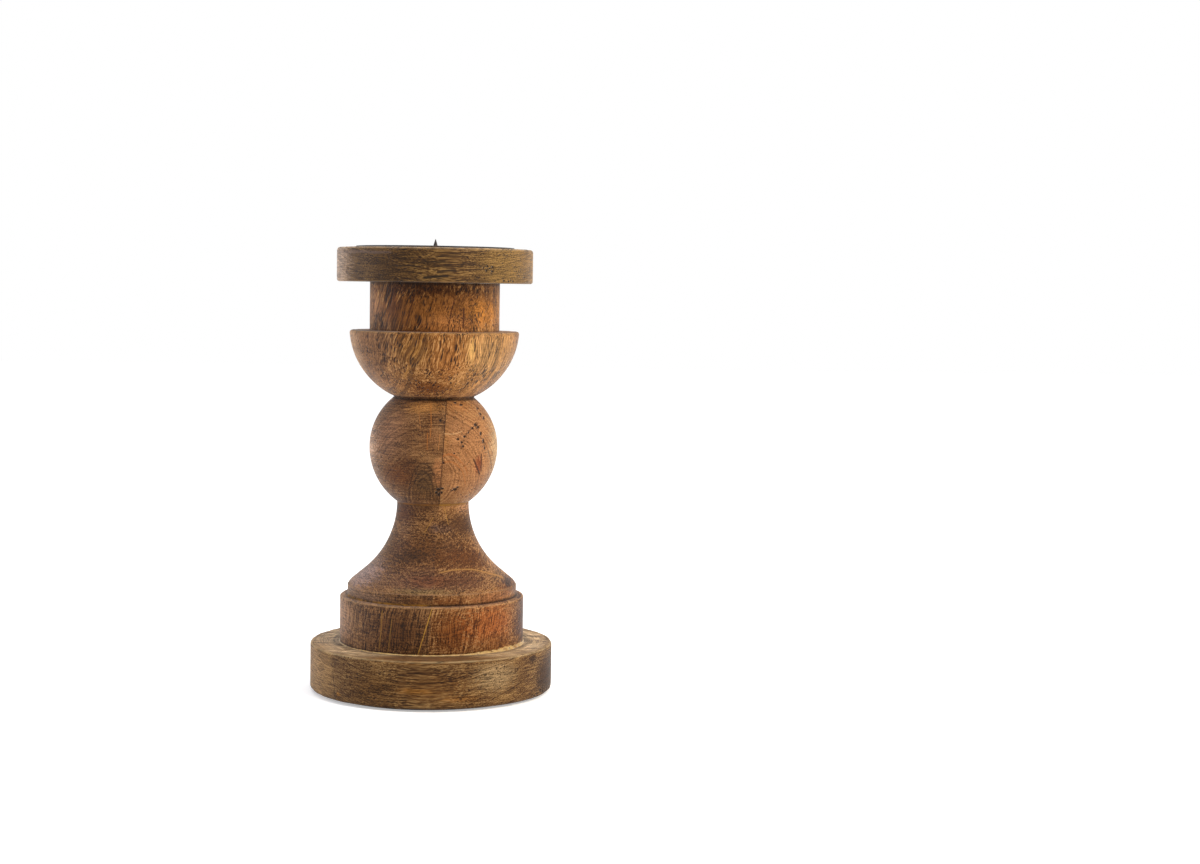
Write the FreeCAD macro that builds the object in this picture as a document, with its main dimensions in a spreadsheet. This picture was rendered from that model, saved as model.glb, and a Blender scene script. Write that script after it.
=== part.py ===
"""Pricket candle stand: turned wooden column between two wooden discs, with an iron pan and spike.

The stand is modelled upright, +Z up. Its origin is the middle of the felt's underside, where it
meets the table, and the turning axis is the Z axis. All lengths are in millimetres.
"""
import FreeCAD
import Part
import Sketcher
import math
import os

# Driving sizes, one block for each piece
SIZES = {
    # felt disc under the base
    "felt_radius": 54.0,
    "felt_thickness": 1.2,
    # base disc, a board of its own
    "base_radius": 60.0,
    "base_thickness": 23.2,
    "base_top_arris": 1.2,
    "base_under_arris": 1.6,
    # lower column: foot, bell and ball, turned from one glued blank
    "foot_radius": 45.6,
    "foot_height": 23.3,
    "foot_arris": 1.0,
    "lip_radius": 41.9,
    "band_height": 5.2,
    "lip_step": 0.3,
    "lip_round_inset": 5.3,
    "lip_round_drop": 2.4,
    "bell_height": 46.4,
    "throat_radius": 17.8,
    "throat_sweep": 43.5,
    "ball_radius": 31.7,
    "ball_rise": 27.2,
    "ball_crown": 24.6,
    "ball_seat_radius": 20.6,
    # glue plane between the two boards of the blank, measured at the throat
    "glue_offset": 3.0,
    "glue_tilt": 3.5,
    # upper column: bowl and neck, turned from one piece
    "bowl_seat_radius": 20.2,
    "bowl_height": 32.9,
    "bowl_curve": 37.8,
    "bowl_rim_radius": 41.8,
    "bowl_rim_arris": 1.2,
    "neck_radius": 32.0,
    "neck_height": 23.6,
    "joint_arris": 0.6,
    # dowel between ball and bowl
    "dowel_radius": 8.0,
    "dowel_length": 50.0,
    "dowel_bevel": 1.2,
    "dowel_fit": 0.05,
    "dowel_end_gap": 1.0,
    "flute_radius": 0.7,
    "flute_count": 12,
    # top disc, a board of its own, its wall standing round the turned recess for the pan
    "top_wall": 8.9,
    "top_thickness": 16.8,
    "top_arris": 1.4,
    "top_under_arris": 1.1,
    "recess_depth": 8.5,
    "recess_arris": 0.4,
    # iron pan
    "pan_radius": 39.0,
    "pan_sheet": 0.8,
    "pan_bend": 2.6,
    "pan_stand": 0.75,
    "pan_fit": 0.3,
    # spike, with its head trapped under the pan
    "spike_radius": 2.0,
    "spike_tenon_radius": 2.2,
    "spike_height": 12.3,
    "spike_point": 6.2,
    "spike_tip_radius": 0.12,
    "spike_head_radius": 5.0,
    "spike_head_thickness": 1.4,
    "spike_fit": 0.05,
    "spike_head_fit": 0.25,
    # countersunk screws, base into foot, inset from the foot's side
    "base_screw_inset": 17.6,
    "base_screw_length": 45.0,
    "base_screw_thread": 2.25,
    "base_screw_core": 1.6,
    "base_screw_head": 4.2,
    "base_screw_plain": 20.0,
    "base_screw_pitch": 2.0,
    "base_screw_tip": 3.0,
    # countersunk screws, top disc into neck, inset from the neck's side
    "top_screw_inset": 12.0,
    "top_screw_length": 30.0,
    "top_screw_thread": 2.0,
    "top_screw_core": 1.4,
    "top_screw_head": 3.8,
    "top_screw_plain": 6.0,
    "top_screw_pitch": 1.8,
    "top_screw_tip": 3.0,
    # countersunk screws, pan into top disc, inset from the pan's wall and flush with its floor
    "pan_screw_inset": 13.0,
    "pan_screw_length": 7.6,
    "pan_screw_thread": 1.5,
    "pan_screw_core": 1.05,
    "pan_screw_head": 2.9,
    "pan_screw_plain": 2.4,
    "pan_screw_pitch": 1.1,
    "pan_screw_tip": 1.5,
    "pan_screw_angle": 60.0,
    # shared by all the screws
    "screw_count": 3,
    "screw_sink": 0.5,
    "screw_hole_fit": 0.2,
    "head_edge": 0.35,
    "cross_width_share": 0.26,
    "cross_length_share": 0.62,
    "cross_depth_share": 0.4,
    # one overrun for every cut
    "overrun": 1.0,
}

FULL_TURN = 360.0
ZERO_TEXT = "0"


class Size:
    """A length with its number and the sheet expression that gives it."""

    def __init__(self, value, text):
        self.value = float(value)
        self.text = text

    def __add__(self, other):
        return Size(self.value + other.value, f"({self.text} + {other.text})")

    def __sub__(self, other):
        return Size(self.value - other.value, f"({self.text} - {other.text})")

    def __mul__(self, other):
        if isinstance(other, Size):
            return Size(self.value * other.value, f"({self.text} * {other.text})")
        return Size(self.value * other, f"({self.text} * {other})")

    def __truediv__(self, other):
        return Size(self.value / other, f"({self.text} / {other})")

    def __neg__(self):
        return Size(-self.value, f"(-{self.text})")


class SizeSheet:
    """The driving sizes, read as attributes, each bound to its own cell of the sheet."""

    def __init__(self, document, table):
        self.table = table
        self.cells = document.addObject("Spreadsheet::Sheet", "sizes")
        for row, (alias, number) in enumerate(table.items(), start=1):
            self.cells.set(f"A{row}", alias)
            self.cells.set(f"B{row}", str(number))
            self.cells.setAlias(f"B{row}", alias)
        document.recompute()

    def __getattr__(self, alias):
        return Size(self.table[alias], f"sizes.{alias}")

    def of_kind(self, kind, name):
        """Returns one size of a kind of screw, such as the ring of the base screws."""
        return getattr(self, f"{kind}_{name}")


ZERO = Size(0.0, ZERO_TEXT)


def origin_plane(body, role):
    """Returns the body's own origin plane with this role."""
    for feature in body.Origin.OriginFeatures:
        if feature.Role == role:
            return feature
    raise ValueError(f"{body.Label} has no {role}")


def arc_side(start, end, centre):
    """Returns the two angles of the short arc, and whether it runs clockwise from start to end."""
    first = math.atan2(start[1] - centre[1], start[0] - centre[0])
    last = math.atan2(end[1] - centre[1], end[0] - centre[0])
    clockwise = (last - first) % (2 * math.pi) > math.pi
    return (last, first, True) if clockwise else (first, last, False)


def centre_from_radius(start, end, radius, left):
    """Returns the centre of an arc of this radius, left or right of the way from start to end."""
    across = (end[0] - start[0], end[1] - start[1])
    span = math.hypot(*across)
    rise = math.sqrt(max(radius * radius - span * span / 4, 0.0))
    side = 1 if left else -1
    middle = ((start[0] + end[0]) / 2, (start[1] + end[1]) / 2)
    return (middle[0] - side * rise * across[1] / span, middle[1] + side * rise * across[0] / span)


def centre_at_level(start, end, level):
    """Returns the centre, at a given height, of the arc through start and end."""
    gap = (start[1] - level) ** 2 - (end[1] - level) ** 2
    across = (start[0] ** 2 - end[0] ** 2 + gap) / (2 * (start[0] - end[0]))
    return (across, level)


class Outline:
    """A closed outline of lines and arcs in a sketch, with each corner placed by named sizes."""

    def __init__(self, body, name, role, height=None):
        self.sketch = body.newObject("Sketcher::SketchObject", name)
        self.sketch.AttachmentSupport = [(origin_plane(body, role), "")]
        self.sketch.MapMode = "FlatFace"
        if height is not None:
            self.sketch.setExpression("AttachmentOffset.Base.z", height.text)
        self.corners = []
        self.edges = []

    def point(self, corner):
        """Returns a corner's coordinates as plain numbers."""
        return (corner[0].value, corner[1].value)

    def start(self, across, up):
        """Begins the outline at a corner."""
        self.corners.append((across, up))

    def line(self, across, up):
        """Draws a line to the next corner."""
        self.corners.append((across, up))
        self.edges.append({"kind": "line"})

    def round_to(self, across, up, radius, left=True):
        """Draws an arc of a named radius to the next corner."""
        start = self.point(self.corners[-1])
        end = self.point((across, up))
        centre = centre_from_radius(start, end, radius.value, left)
        self.corners.append((across, up))
        self.edges.append({"kind": "radius", "radius": radius, "centre": centre})

    def level_arc(self, across, up, level):
        """Draws an arc to the next corner, with its centre at a named height."""
        start = self.point(self.corners[-1])
        end = self.point((across, up))
        centre = centre_at_level(start, end, level.value)
        self.corners.append((across, up))
        self.edges.append({"kind": "level", "level": level, "centre": centre})

    def smooth_run(self, first, last, end):
        """Draws an arc about first, its common tangent with the next arc, and an arc about last.

        first and last are the named places of the two centres, which lie on opposite sides
        of the tangent. The lengths of both arcs follow from it.
        """
        begin = self.point(self.corners[-1])
        centre_one = self.point(first)
        centre_two = self.point(last)
        finish = self.point(end)
        radius_one = math.dist(begin, centre_one)
        radius_two = math.dist(finish, centre_two)
        away = (centre_two[0] - centre_one[0], centre_two[1] - centre_one[1])
        span = math.hypot(*away)
        turn = math.atan2(away[1], away[0]) - math.acos((radius_one + radius_two) / span)
        normal = (math.cos(turn), math.sin(turn))
        leave = (centre_one[0] + radius_one * normal[0], centre_one[1] + radius_one * normal[1])
        join = (centre_two[0] - radius_two * normal[0], centre_two[1] - radius_two * normal[1])
        self.corners.append(leave)
        self.edges.append({"kind": "centre", "place": first, "centre": centre_one})
        self.corners.append(join)
        self.edges.append({"kind": "line"})
        self.corners.append(end)
        self.edges.append({"kind": "centre", "place": last, "centre": centre_two})

    def place(self, geometry, vertex, across, up):
        """Ties one vertex of a drawn piece to its named place."""
        if across.text == ZERO_TEXT:
            self.sketch.addConstraint(Sketcher.Constraint("PointOnObject", geometry, vertex, -2))
        else:
            self.bind("DistanceX", across, -1, 1, geometry, vertex)
        if up.text == ZERO_TEXT:
            self.sketch.addConstraint(Sketcher.Constraint("PointOnObject", geometry, vertex, -1))
        else:
            self.bind("DistanceY", up, -1, 1, geometry, vertex)

    def bind(self, kind, size, *where):
        """Adds a constraint and binds its value to the sheet."""
        index = self.sketch.addConstraint(Sketcher.Constraint(kind, *where, size.value))
        self.sketch.setExpression(f"Constraints[{index}]", size.text)

    def draw_edge(self, edge, start, end):
        """Draws one line or arc and returns its number with its first and last vertex."""
        begin = FreeCAD.Vector(start[0], start[1], 0)
        finish = FreeCAD.Vector(end[0], end[1], 0)
        if edge["kind"] == "line":
            return self.sketch.addGeometry(Part.LineSegment(begin, finish)), 1, 2
        centre = edge["centre"]
        low, high, clockwise = arc_side(start, end, centre)
        circle = Part.Circle(FreeCAD.Vector(centre[0], centre[1], 0), FreeCAD.Vector(0, 0, 1),
                             math.dist(start, centre))
        number = self.sketch.addGeometry(Part.ArcOfCircle(circle, low, high))
        return (number, 2, 1) if clockwise else (number, 1, 2)

    def close(self):
        """Closes the outline back to its first corner and returns the finished sketch."""
        self.edges.append({"kind": "line"})
        points = []
        for corner in self.corners:
            named = isinstance(corner[0], Size)
            points.append(self.point(corner) if named else corner)
        drawn = []
        for number, edge in enumerate(self.edges):
            drawn.append(self.draw_edge(edge, points[number], points[(number + 1) % len(points)]))
        for number, (geometry, first, _) in enumerate(drawn):
            before, _, end = drawn[number - 1]
            corner = self.corners[number]
            if isinstance(corner[0], Size):
                self.sketch.addConstraint(Sketcher.Constraint("Coincident", before, end, geometry, first))
                self.place(geometry, first, *corner)
            else:
                self.sketch.addConstraint(Sketcher.Constraint("Tangent", before, end, geometry, first))
        for edge, (geometry, _, _) in zip(self.edges, drawn):
            if edge["kind"] == "radius":
                self.bind("Radius", edge["radius"], geometry)
            elif edge["kind"] == "level":
                self.bind("DistanceY", edge["level"], -1, 1, geometry, 3)
            elif edge["kind"] == "centre":
                self.place(geometry, 3, *edge["place"])
        return self.sketch

    def axis(self, across, low, high):
        """Draws a construction line up the sketch, the outline's own turning axis."""
        line = Part.LineSegment(FreeCAD.Vector(across.value, low.value, 0),
                                FreeCAD.Vector(across.value, high.value, 0))
        number = self.sketch.addGeometry(line, True)
        self.place(number, 1, across, low)
        self.place(number, 2, across, high)


def new_body(document, label, turned=None):
    """Returns an empty body with this label, turned about the Z axis by a named angle if given."""
    body = document.addObject("PartDesign::Body", label)
    body.Label = label
    body.Placement = FreeCAD.Placement(FreeCAD.Vector(), FreeCAD.Rotation(FreeCAD.Vector(0, 0, 1), 1))
    body.setExpression("Placement.Rotation.Angle", (turned or ZERO).text)
    return body


def turn(body, sketch, name, axis="V_Axis", kind="PartDesign::Revolution"):
    """Turns an outline a full circle about its axis, adding to the body or cutting from it."""
    feature = body.newObject(kind, name)
    feature.Profile = (sketch, [""])
    feature.ReferenceAxis = (sketch, [axis])
    feature.Angle = FULL_TURN
    sketch.Visibility = False
    return feature


def repeat_round(document, body, originals, name, count, axis="V_Axis"):
    """Repeats features in even steps round the turning axis, an axis of their first outline."""
    document.recompute()
    pattern = body.newObject("PartDesign::PolarPattern", name)
    pattern.Originals = originals
    pattern.Axis = (originals[0].Profile[0], [axis])
    pattern.Angle = FULL_TURN
    pattern.setExpression("Occurrences", count.text)
    body.Tip = pattern


def make_felt(document, s):
    """Felt disc that covers the screw heads and keeps the wood off the table."""
    body = new_body(document, "base_felt")
    outline = Outline(body, "felt_outline", "XZ_Plane")
    outline.start(ZERO, ZERO)
    outline.line(s.felt_radius, ZERO)
    outline.line(s.felt_radius, s.felt_thickness)
    outline.line(ZERO, s.felt_thickness)
    turn(body, outline.close(), "felt_disc")
    return body


def screw_hole(body, name, ring, face, way, head, thread, depth, s):
    """Cuts one countersunk clearance hole, its head recess opening at the given face.

    way is +1 where the hole runs up from the face and -1 where it runs down. The screw's head
    seats on the cone.
    """
    head_radius = head + s.screw_hole_fit
    hole_radius = thread + s.screw_hole_fit
    cone = face + (s.screw_sink + s.head_edge - s.screw_hole_fit) * way
    outline = Outline(body, f"{name}_outline", "XZ_Plane")
    outline.axis(ring, face, face + depth * way)
    outline.start(ring, face - s.overrun * way)
    outline.line(ring + head_radius, face - s.overrun * way)
    outline.line(ring + head_radius, cone)
    outline.line(ring + hole_radius, cone + (head_radius - hole_radius) * way)
    outline.line(ring + hole_radius, face + (depth + s.overrun) * way)
    outline.line(ring, face + (depth + s.overrun) * way)
    return turn(body, outline.close(), name, "Axis0", "PartDesign::Groove")


def make_base(document, s):
    """Base disc: a flat board with softened edges and three countersunk holes from below."""
    body = new_body(document, "base_disc")
    under = s.felt_thickness
    top = under + s.base_thickness
    outline = Outline(body, "base_outline", "XZ_Plane")
    outline.start(ZERO, under)
    outline.line(s.base_radius - s.base_under_arris, under)
    outline.round_to(s.base_radius, under + s.base_under_arris, s.base_under_arris)
    outline.line(s.base_radius, top - s.base_top_arris)
    outline.round_to(s.base_radius - s.base_top_arris, top, s.base_top_arris)
    outline.line(ZERO, top)
    turn(body, outline.close(), "base_turning")
    ring = s.foot_radius - s.base_screw_inset
    hole = screw_hole(body, "base_hole", ring, under, 1, s.base_screw_head,
                      s.base_screw_thread, s.base_thickness, s)
    repeat_round(document, body, [hole], "base_holes", s.screw_count)
    return body


def make_lower_turning(document, s):
    """Foot, bell and ball as one turned form, before the blank's two boards are told apart."""
    body = new_body(document, "lower_turning")
    foot = s.felt_thickness + s.base_thickness
    foot_top = foot + s.foot_height
    band_top = foot_top + s.band_height
    shoulder_radius = s.lip_radius - s.lip_step
    shoulder = band_top + s.lip_step
    throat = foot_top + s.bell_height
    equator = throat + s.ball_rise
    crown = equator + s.ball_crown
    outline = Outline(body, "lower_outline", "XZ_Plane")
    outline.start(ZERO, foot)
    outline.line(s.foot_radius, foot)
    outline.line(s.foot_radius, foot_top - s.foot_arris)
    outline.round_to(s.foot_radius - s.foot_arris, foot_top, s.foot_arris)
    outline.line(s.lip_radius, foot_top)
    outline.line(s.lip_radius, band_top)
    outline.line(shoulder_radius, shoulder)
    outline.smooth_run((shoulder_radius - s.lip_round_inset, shoulder - s.lip_round_drop),
                       (s.throat_radius + s.throat_sweep, throat),
                       (s.throat_radius, throat))
    outline.level_arc(s.ball_radius, equator, equator)
    outline.level_arc(s.ball_seat_radius, crown - s.joint_arris, equator)
    outline.line(s.ball_seat_radius - s.joint_arris, crown)
    outline.line(ZERO, crown)
    turn(body, outline.close(), "lower_form")
    return body


def make_board(document, label, side, s):
    """One board of the glued blank, bounded by the tilted glue plane. side is -1 left, 1 right."""
    board = document.addObject("Part::Box", label)
    board.Label = label
    width = s.foot_radius * 2
    height = (s.bell_height + s.foot_height + s.ball_rise + s.ball_crown) * 2
    throat = s.felt_thickness + s.base_thickness + s.foot_height + s.bell_height
    board.setExpression("Length", width.text)
    board.setExpression("Width", (width + s.overrun * 2).text)
    board.setExpression("Height", height.text)
    board.Placement = FreeCAD.Placement(FreeCAD.Vector(), FreeCAD.Rotation(FreeCAD.Vector(0, 1, 0), 1))
    board.setExpression("Placement.Rotation.Angle", s.glue_tilt.text)
    slide = width * side if side < 0 else ZERO
    half = height / 2
    sine = Size(math.sin(math.radians(s.glue_tilt.value)), f"sin({s.glue_tilt.text})")
    cosine = Size(math.cos(math.radians(s.glue_tilt.value)), f"cos({s.glue_tilt.text})")
    across = s.glue_offset + slide * cosine - half * sine
    lift = throat - slide * sine - half * cosine
    board.setExpression("Placement.Base.x", across.text)
    board.setExpression("Placement.Base.y", (-(s.foot_radius + s.overrun)).text)
    board.setExpression("Placement.Base.z", lift.text)
    return board


def make_dowel_hole(document, label, middle, s):
    """Hole for the dowel in ball and bowl, as deep at each end as the dowel and its end gap."""
    hole = document.addObject("Part::Cylinder", label)
    hole.Label = label
    hole.setExpression("Radius", (s.dowel_radius + s.dowel_fit).text)
    hole.setExpression("Height", (s.dowel_length + s.dowel_end_gap * 2).text)
    hole.setExpression("Placement.Base.z", (middle - s.dowel_length / 2 - s.dowel_end_gap).text)
    return hole


def join_tools(document, label, tools):
    """Holds several cutting shapes together as one tool."""
    group = document.addObject("Part::Compound", label)
    group.Label = label
    group.Links = tools
    return group


def cut_away(document, label, base, tool):
    """Cuts a tool out of a piece and names the result."""
    piece = document.addObject("Part::Cut", label)
    piece.Label = label
    piece.Base = base
    piece.Tool = tool
    return piece


def make_lower_half(document, label, turning, side, holes, s):
    """One half of the lower column: its board, turned, drilled for the dowel and the screws."""
    board = make_board(document, f"{label}_board", side, s)
    half = document.addObject("Part::Common", f"{label}_form")
    half.Base = turning
    half.Tool = board
    return cut_away(document, label, half, holes)


def make_upper_turning(document, s):
    """Bowl and neck, turned from one piece, with the dowel's hole in its seat."""
    body = new_body(document, "upper_turning")
    seat = s.felt_thickness + s.base_thickness + s.foot_height + s.bell_height + s.ball_rise + s.ball_crown
    rim = seat + s.bowl_height
    neck_top = rim + s.neck_height
    hole_radius = s.dowel_radius + s.dowel_fit
    hole_end = seat + s.dowel_length / 2 + s.dowel_end_gap
    outline = Outline(body, "upper_outline", "XZ_Plane")
    outline.start(hole_radius, seat)
    outline.line(s.bowl_seat_radius - s.joint_arris, seat)
    outline.line(s.bowl_seat_radius, seat + s.joint_arris)
    outline.round_to(s.bowl_rim_radius, rim - s.bowl_rim_arris, s.bowl_curve)
    outline.round_to(s.bowl_rim_radius - s.bowl_rim_arris, rim, s.bowl_rim_arris)
    outline.line(s.neck_radius, rim)
    outline.line(s.neck_radius, neck_top)
    outline.line(ZERO, neck_top)
    outline.line(ZERO, hole_end)
    outline.line(hole_radius, hole_end)
    turn(body, outline.close(), "upper_form")
    return body


def make_dowel(document, middle, s):
    """Fluted dowel that carries the load from bowl to ball and keeps them in line."""
    body = new_body(document, "column_dowel")
    low = middle - s.dowel_length / 2
    high = middle + s.dowel_length / 2
    outline = Outline(body, "dowel_outline", "XZ_Plane")
    outline.start(ZERO, low)
    outline.line(s.dowel_radius - s.dowel_bevel, low)
    outline.line(s.dowel_radius, low + s.dowel_bevel)
    outline.line(s.dowel_radius, high - s.dowel_bevel)
    outline.line(s.dowel_radius - s.dowel_bevel, high)
    outline.line(ZERO, high)
    turn(body, outline.close(), "dowel_rod")
    document.recompute()
    flute = Outline(body, "flute_outline", "XY_Plane", low - s.overrun)
    flute.start(s.dowel_radius - s.flute_radius, ZERO)
    flute.line(s.dowel_radius + s.flute_radius, -s.flute_radius * 2)
    flute.line(s.dowel_radius + s.flute_radius, s.flute_radius * 2)
    groove = body.newObject("PartDesign::Pocket", "flute")
    groove.Profile = (flute.close(), [""])
    groove.Reversed = True
    groove.setExpression("Length", (s.dowel_length + s.overrun * 2).text)
    repeat_round(document, body, [groove], "flutes", s.flute_count, "N_Axis")
    return body


def make_top(document, top_under, s):
    """Top disc: a board with softened edges, a recess for the pan and one for the spike's head."""
    body = new_body(document, "top_board")
    top = top_under + s.top_thickness
    floor = top - s.recess_depth
    recess_radius = s.pan_radius + s.pan_fit
    top_radius = recess_radius + s.top_wall
    nest_radius = s.spike_head_radius + s.spike_head_fit
    nest_floor = floor - s.spike_head_thickness
    outline = Outline(body, "top_outline", "XZ_Plane")
    outline.start(ZERO, top_under)
    outline.line(top_radius - s.top_under_arris, top_under)
    outline.round_to(top_radius, top_under + s.top_under_arris, s.top_under_arris)
    outline.line(top_radius, top - s.top_arris)
    outline.round_to(top_radius - s.top_arris, top, s.top_arris)
    outline.line(recess_radius + s.recess_arris, top)
    outline.line(recess_radius, top - s.recess_arris)
    outline.line(recess_radius, floor)
    outline.line(nest_radius, floor)
    outline.line(nest_radius, nest_floor)
    outline.line(ZERO, nest_floor)
    turn(body, outline.close(), "top_turning")
    ring = s.neck_radius - s.top_screw_inset
    hole = screw_hole(body, "top_hole", ring, floor, -1, s.top_screw_head,
                      s.top_screw_thread, s.top_thickness - s.recess_depth, s)
    repeat_round(document, body, [hole], "top_holes", s.screw_count)
    return body


def make_pan(document, floor, top, s):
    """Pressed iron pan: a flat floor, a bent corner and an upright wall with a rounded edge.

    Its screw holes are countersunk through the sheet, so that the candle's seat stays flat.
    """
    body = new_body(document, "pan_blank")
    half_sheet = s.pan_sheet / 2
    inner_bend = s.pan_bend - s.pan_sheet
    inner_radius = s.pan_radius - s.pan_sheet
    edge = top + s.pan_stand
    hole_radius = s.spike_tenon_radius + s.spike_fit
    outline = Outline(body, "pan_outline", "XZ_Plane")
    outline.start(hole_radius, floor)
    outline.line(s.pan_radius - s.pan_bend, floor)
    outline.round_to(s.pan_radius, floor + s.pan_bend, s.pan_bend)
    outline.line(s.pan_radius, edge - half_sheet)
    outline.round_to(s.pan_radius - half_sheet, edge, half_sheet)
    outline.round_to(inner_radius, edge - half_sheet, half_sheet)
    outline.line(inner_radius, floor + s.pan_bend)
    outline.round_to(inner_radius - inner_bend, floor + s.pan_sheet, inner_bend, False)
    outline.line(hole_radius, floor + s.pan_sheet)
    turn(body, outline.close(), "pan_pressing")
    return body


def make_spike(document, floor, s):
    """Spike: a pointed iron pin that stands up through the pan on a flat head below it.

    Its tenon fills the pan's middle hole, flush with the floor.
    """
    body = new_body(document, "pricket")
    tip = floor + s.pan_sheet + s.spike_height
    outline = Outline(body, "spike_outline", "XZ_Plane")
    outline.start(ZERO, floor - s.spike_head_thickness)
    outline.line(s.spike_head_radius, floor - s.spike_head_thickness)
    outline.line(s.spike_head_radius, floor)
    outline.line(s.spike_tenon_radius, floor)
    outline.line(s.spike_tenon_radius, floor + s.pan_sheet)
    outline.line(s.spike_radius, floor + s.pan_sheet)
    outline.line(s.spike_radius, tip - s.spike_point)
    outline.line(s.spike_tip_radius, tip)
    outline.line(ZERO, tip)
    turn(body, outline.close(), "spike_pin")
    return body


class Screws:
    """One ring of countersunk screws: where they sit, which way they point, and their thread."""

    def __init__(self, s, kind, ring, face, way, turned=None):
        self.s = s
        self.face = face
        self.way = way
        self.turned = turned
        self.ring = ring
        self.length = s.of_kind(kind, "length")
        self.thread = s.of_kind(kind, "thread")
        self.core = s.of_kind(kind, "core")
        self.head = s.of_kind(kind, "head")
        self.plain = s.of_kind(kind, "plain")
        self.pitch = s.of_kind(kind, "pitch")
        self.tip = s.of_kind(kind, "tip")

    def up(self, depth):
        """Returns the height of a place this far from the face towards the tip."""
        return self.face + depth * self.way

    def draw(self, outline):
        """Draws the head, flush with its face, the plain shank, the thread's rings and the tip."""
        rings = int((self.length.value - self.plain.value - self.tip.value) / self.pitch.value)
        outline.axis(self.ring, self.face, self.up(self.length))
        outline.start(self.ring, self.face)
        outline.line(self.ring + self.head, self.face)
        outline.line(self.ring + self.head, self.up(self.s.head_edge))
        outline.line(self.ring + self.core, self.up(self.s.head_edge + self.head - self.core))
        outline.line(self.ring + self.core, self.up(self.plain))
        for number in range(rings):
            root = self.plain + self.pitch * number
            outline.line(self.ring + self.thread, self.up(root + self.pitch / 2))
            outline.line(self.ring + self.core, self.up(root + self.pitch))
        outline.line(self.ring, self.up(self.length))

    def build(self, document, label, crossed=True):
        """Builds the ring as one body of separate solids.

        Without the crosses in their heads they are the room that the screws fill.
        """
        body = new_body(document, label, self.turned)
        body.AllowCompound = True
        outline = Outline(body, f"{label}_outline", "XZ_Plane")
        self.draw(outline)
        features = [turn(body, outline.close(), f"{label}_turning", "Axis0")]
        document.recompute()
        if crossed:
            features.append(self.cut_cross(body, label))
        repeat_round(document, body, features, f"{label}_copies", self.s.screw_count)
        return body

    def cut_cross(self, body, label):
        """Cuts the driver's cross into the head."""
        arm = self.head * self.s.cross_length_share
        half = self.head * self.s.cross_width_share / 2
        outline = Outline(body, f"{label}_cross_outline", "XY_Plane", self.face)
        ring = self.ring
        outline.start(ring + half, half)
        outline.line(ring + half, arm)
        outline.line(ring - half, arm)
        outline.line(ring - half, half)
        outline.line(ring - arm, half)
        outline.line(ring - arm, -half)
        outline.line(ring - half, -half)
        outline.line(ring - half, -arm)
        outline.line(ring + half, -arm)
        outline.line(ring + half, -half)
        outline.line(ring + arm, -half)
        outline.line(ring + arm, half)
        cross = body.newObject("PartDesign::Pocket", f"{label}_cross")
        cross.Profile = (outline.close(), [""])
        cross.Reversed = self.way > 0
        cross.setExpression("Length", (self.head * self.s.cross_depth_share).text)
        return cross


def build_stand(document):
    """Builds every piece and returns those that are written out."""
    s = SizeSheet(document, SIZES)
    seat = s.felt_thickness + s.base_thickness + s.foot_height + s.bell_height + s.ball_rise + s.ball_crown
    top_under = seat + s.bowl_height + s.neck_height
    top = top_under + s.top_thickness
    floor = top - s.recess_depth

    felt = make_felt(document, s)
    base = make_base(document, s)
    base_screw_ring = Screws(s, "base_screw", s.foot_radius - s.base_screw_inset,
                             s.felt_thickness + s.screw_sink, 1)
    base_screws = base_screw_ring.build(document, "base_screws")
    turning = make_lower_turning(document, s)
    dowel_hole = make_dowel_hole(document, "dowel_hole", seat, s)
    holes = join_tools(document, "lower_holes", [dowel_hole, base_screws])
    left = make_lower_half(document, "lower_column_left", turning, -1, holes, s)
    right = make_lower_half(document, "lower_column_right", turning, 1, holes, s)
    dowel = make_dowel(document, seat, s)
    top_screw_ring = Screws(s, "top_screw", s.neck_radius - s.top_screw_inset, floor - s.screw_sink, -1)
    top_screws = top_screw_ring.build(document, "top_screws")
    upper = cut_away(document, "upper_column", make_upper_turning(document, s), top_screws)
    pan_screw_ring = Screws(s, "pan_screw", s.pan_radius - s.pan_screw_inset, floor + s.pan_sheet, -1,
                            s.pan_screw_angle)
    pan_screws = pan_screw_ring.build(document, "pan_screws")
    pan_screw_room = pan_screw_ring.build(document, "pan_screw_room", crossed=False)
    top_disc = cut_away(document, "top_disc", make_top(document, top_under, s), pan_screw_room)
    pan = cut_away(document, "candle_pan", make_pan(document, floor, top, s), pan_screw_room)
    spike = make_spike(document, floor, s)
    return [felt, base, base_screws, left, right, dowel, upper, top_screws, top_disc,
            pan, pan_screws, spike]


def check_document(document, pieces):
    """Stops the script if any object failed or any piece has no valid shape."""
    for item in document.Objects:
        if "Invalid" in item.State or "Error" in item.State:
            raise RuntimeError(f"{item.Label} is in state {item.State}")
    for piece in pieces:
        if piece.Shape.isNull() or not piece.Shape.isValid():
            raise RuntimeError(f"{piece.Label} has no valid shape")


def main():
    """Builds the stand, checks it and writes each piece to its own file."""
    document = FreeCAD.newDocument("pricket_candle_stand")
    pieces = build_stand(document)
    document.recompute()
    check_document(document, pieces)
    os.makedirs("parts", exist_ok=True)
    for piece in pieces:
        piece.Shape.exportStep(os.path.join("parts", f"{piece.Label}.step"))
        box = piece.Shape.optimalBoundingBox(False, False)
        print(f"{piece.Label}: {len(piece.Shape.Solids)} solids, {piece.Shape.Volume:.1f} mm3, "
              f"z {box.ZMin:.2f} to {box.ZMax:.2f}, x {box.XMin:.2f} to {box.XMax:.2f}")


main()
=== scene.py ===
"""Dresses the pricket candle stand: turned mango wood, glue, felt, steel and blackened iron.

The stand rests on a pale floor under soft studio light, seen from a little below its top disc.
Sizes are real ones in millimetres. Blender's own unit is the metre, so MM turns one into the other.
"""
from __future__ import annotations

import logging
import math
from dataclasses import dataclass, field
from enum import Enum

import bmesh
import bpy
import numpy as np
from mathutils import Matrix, Vector

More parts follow.
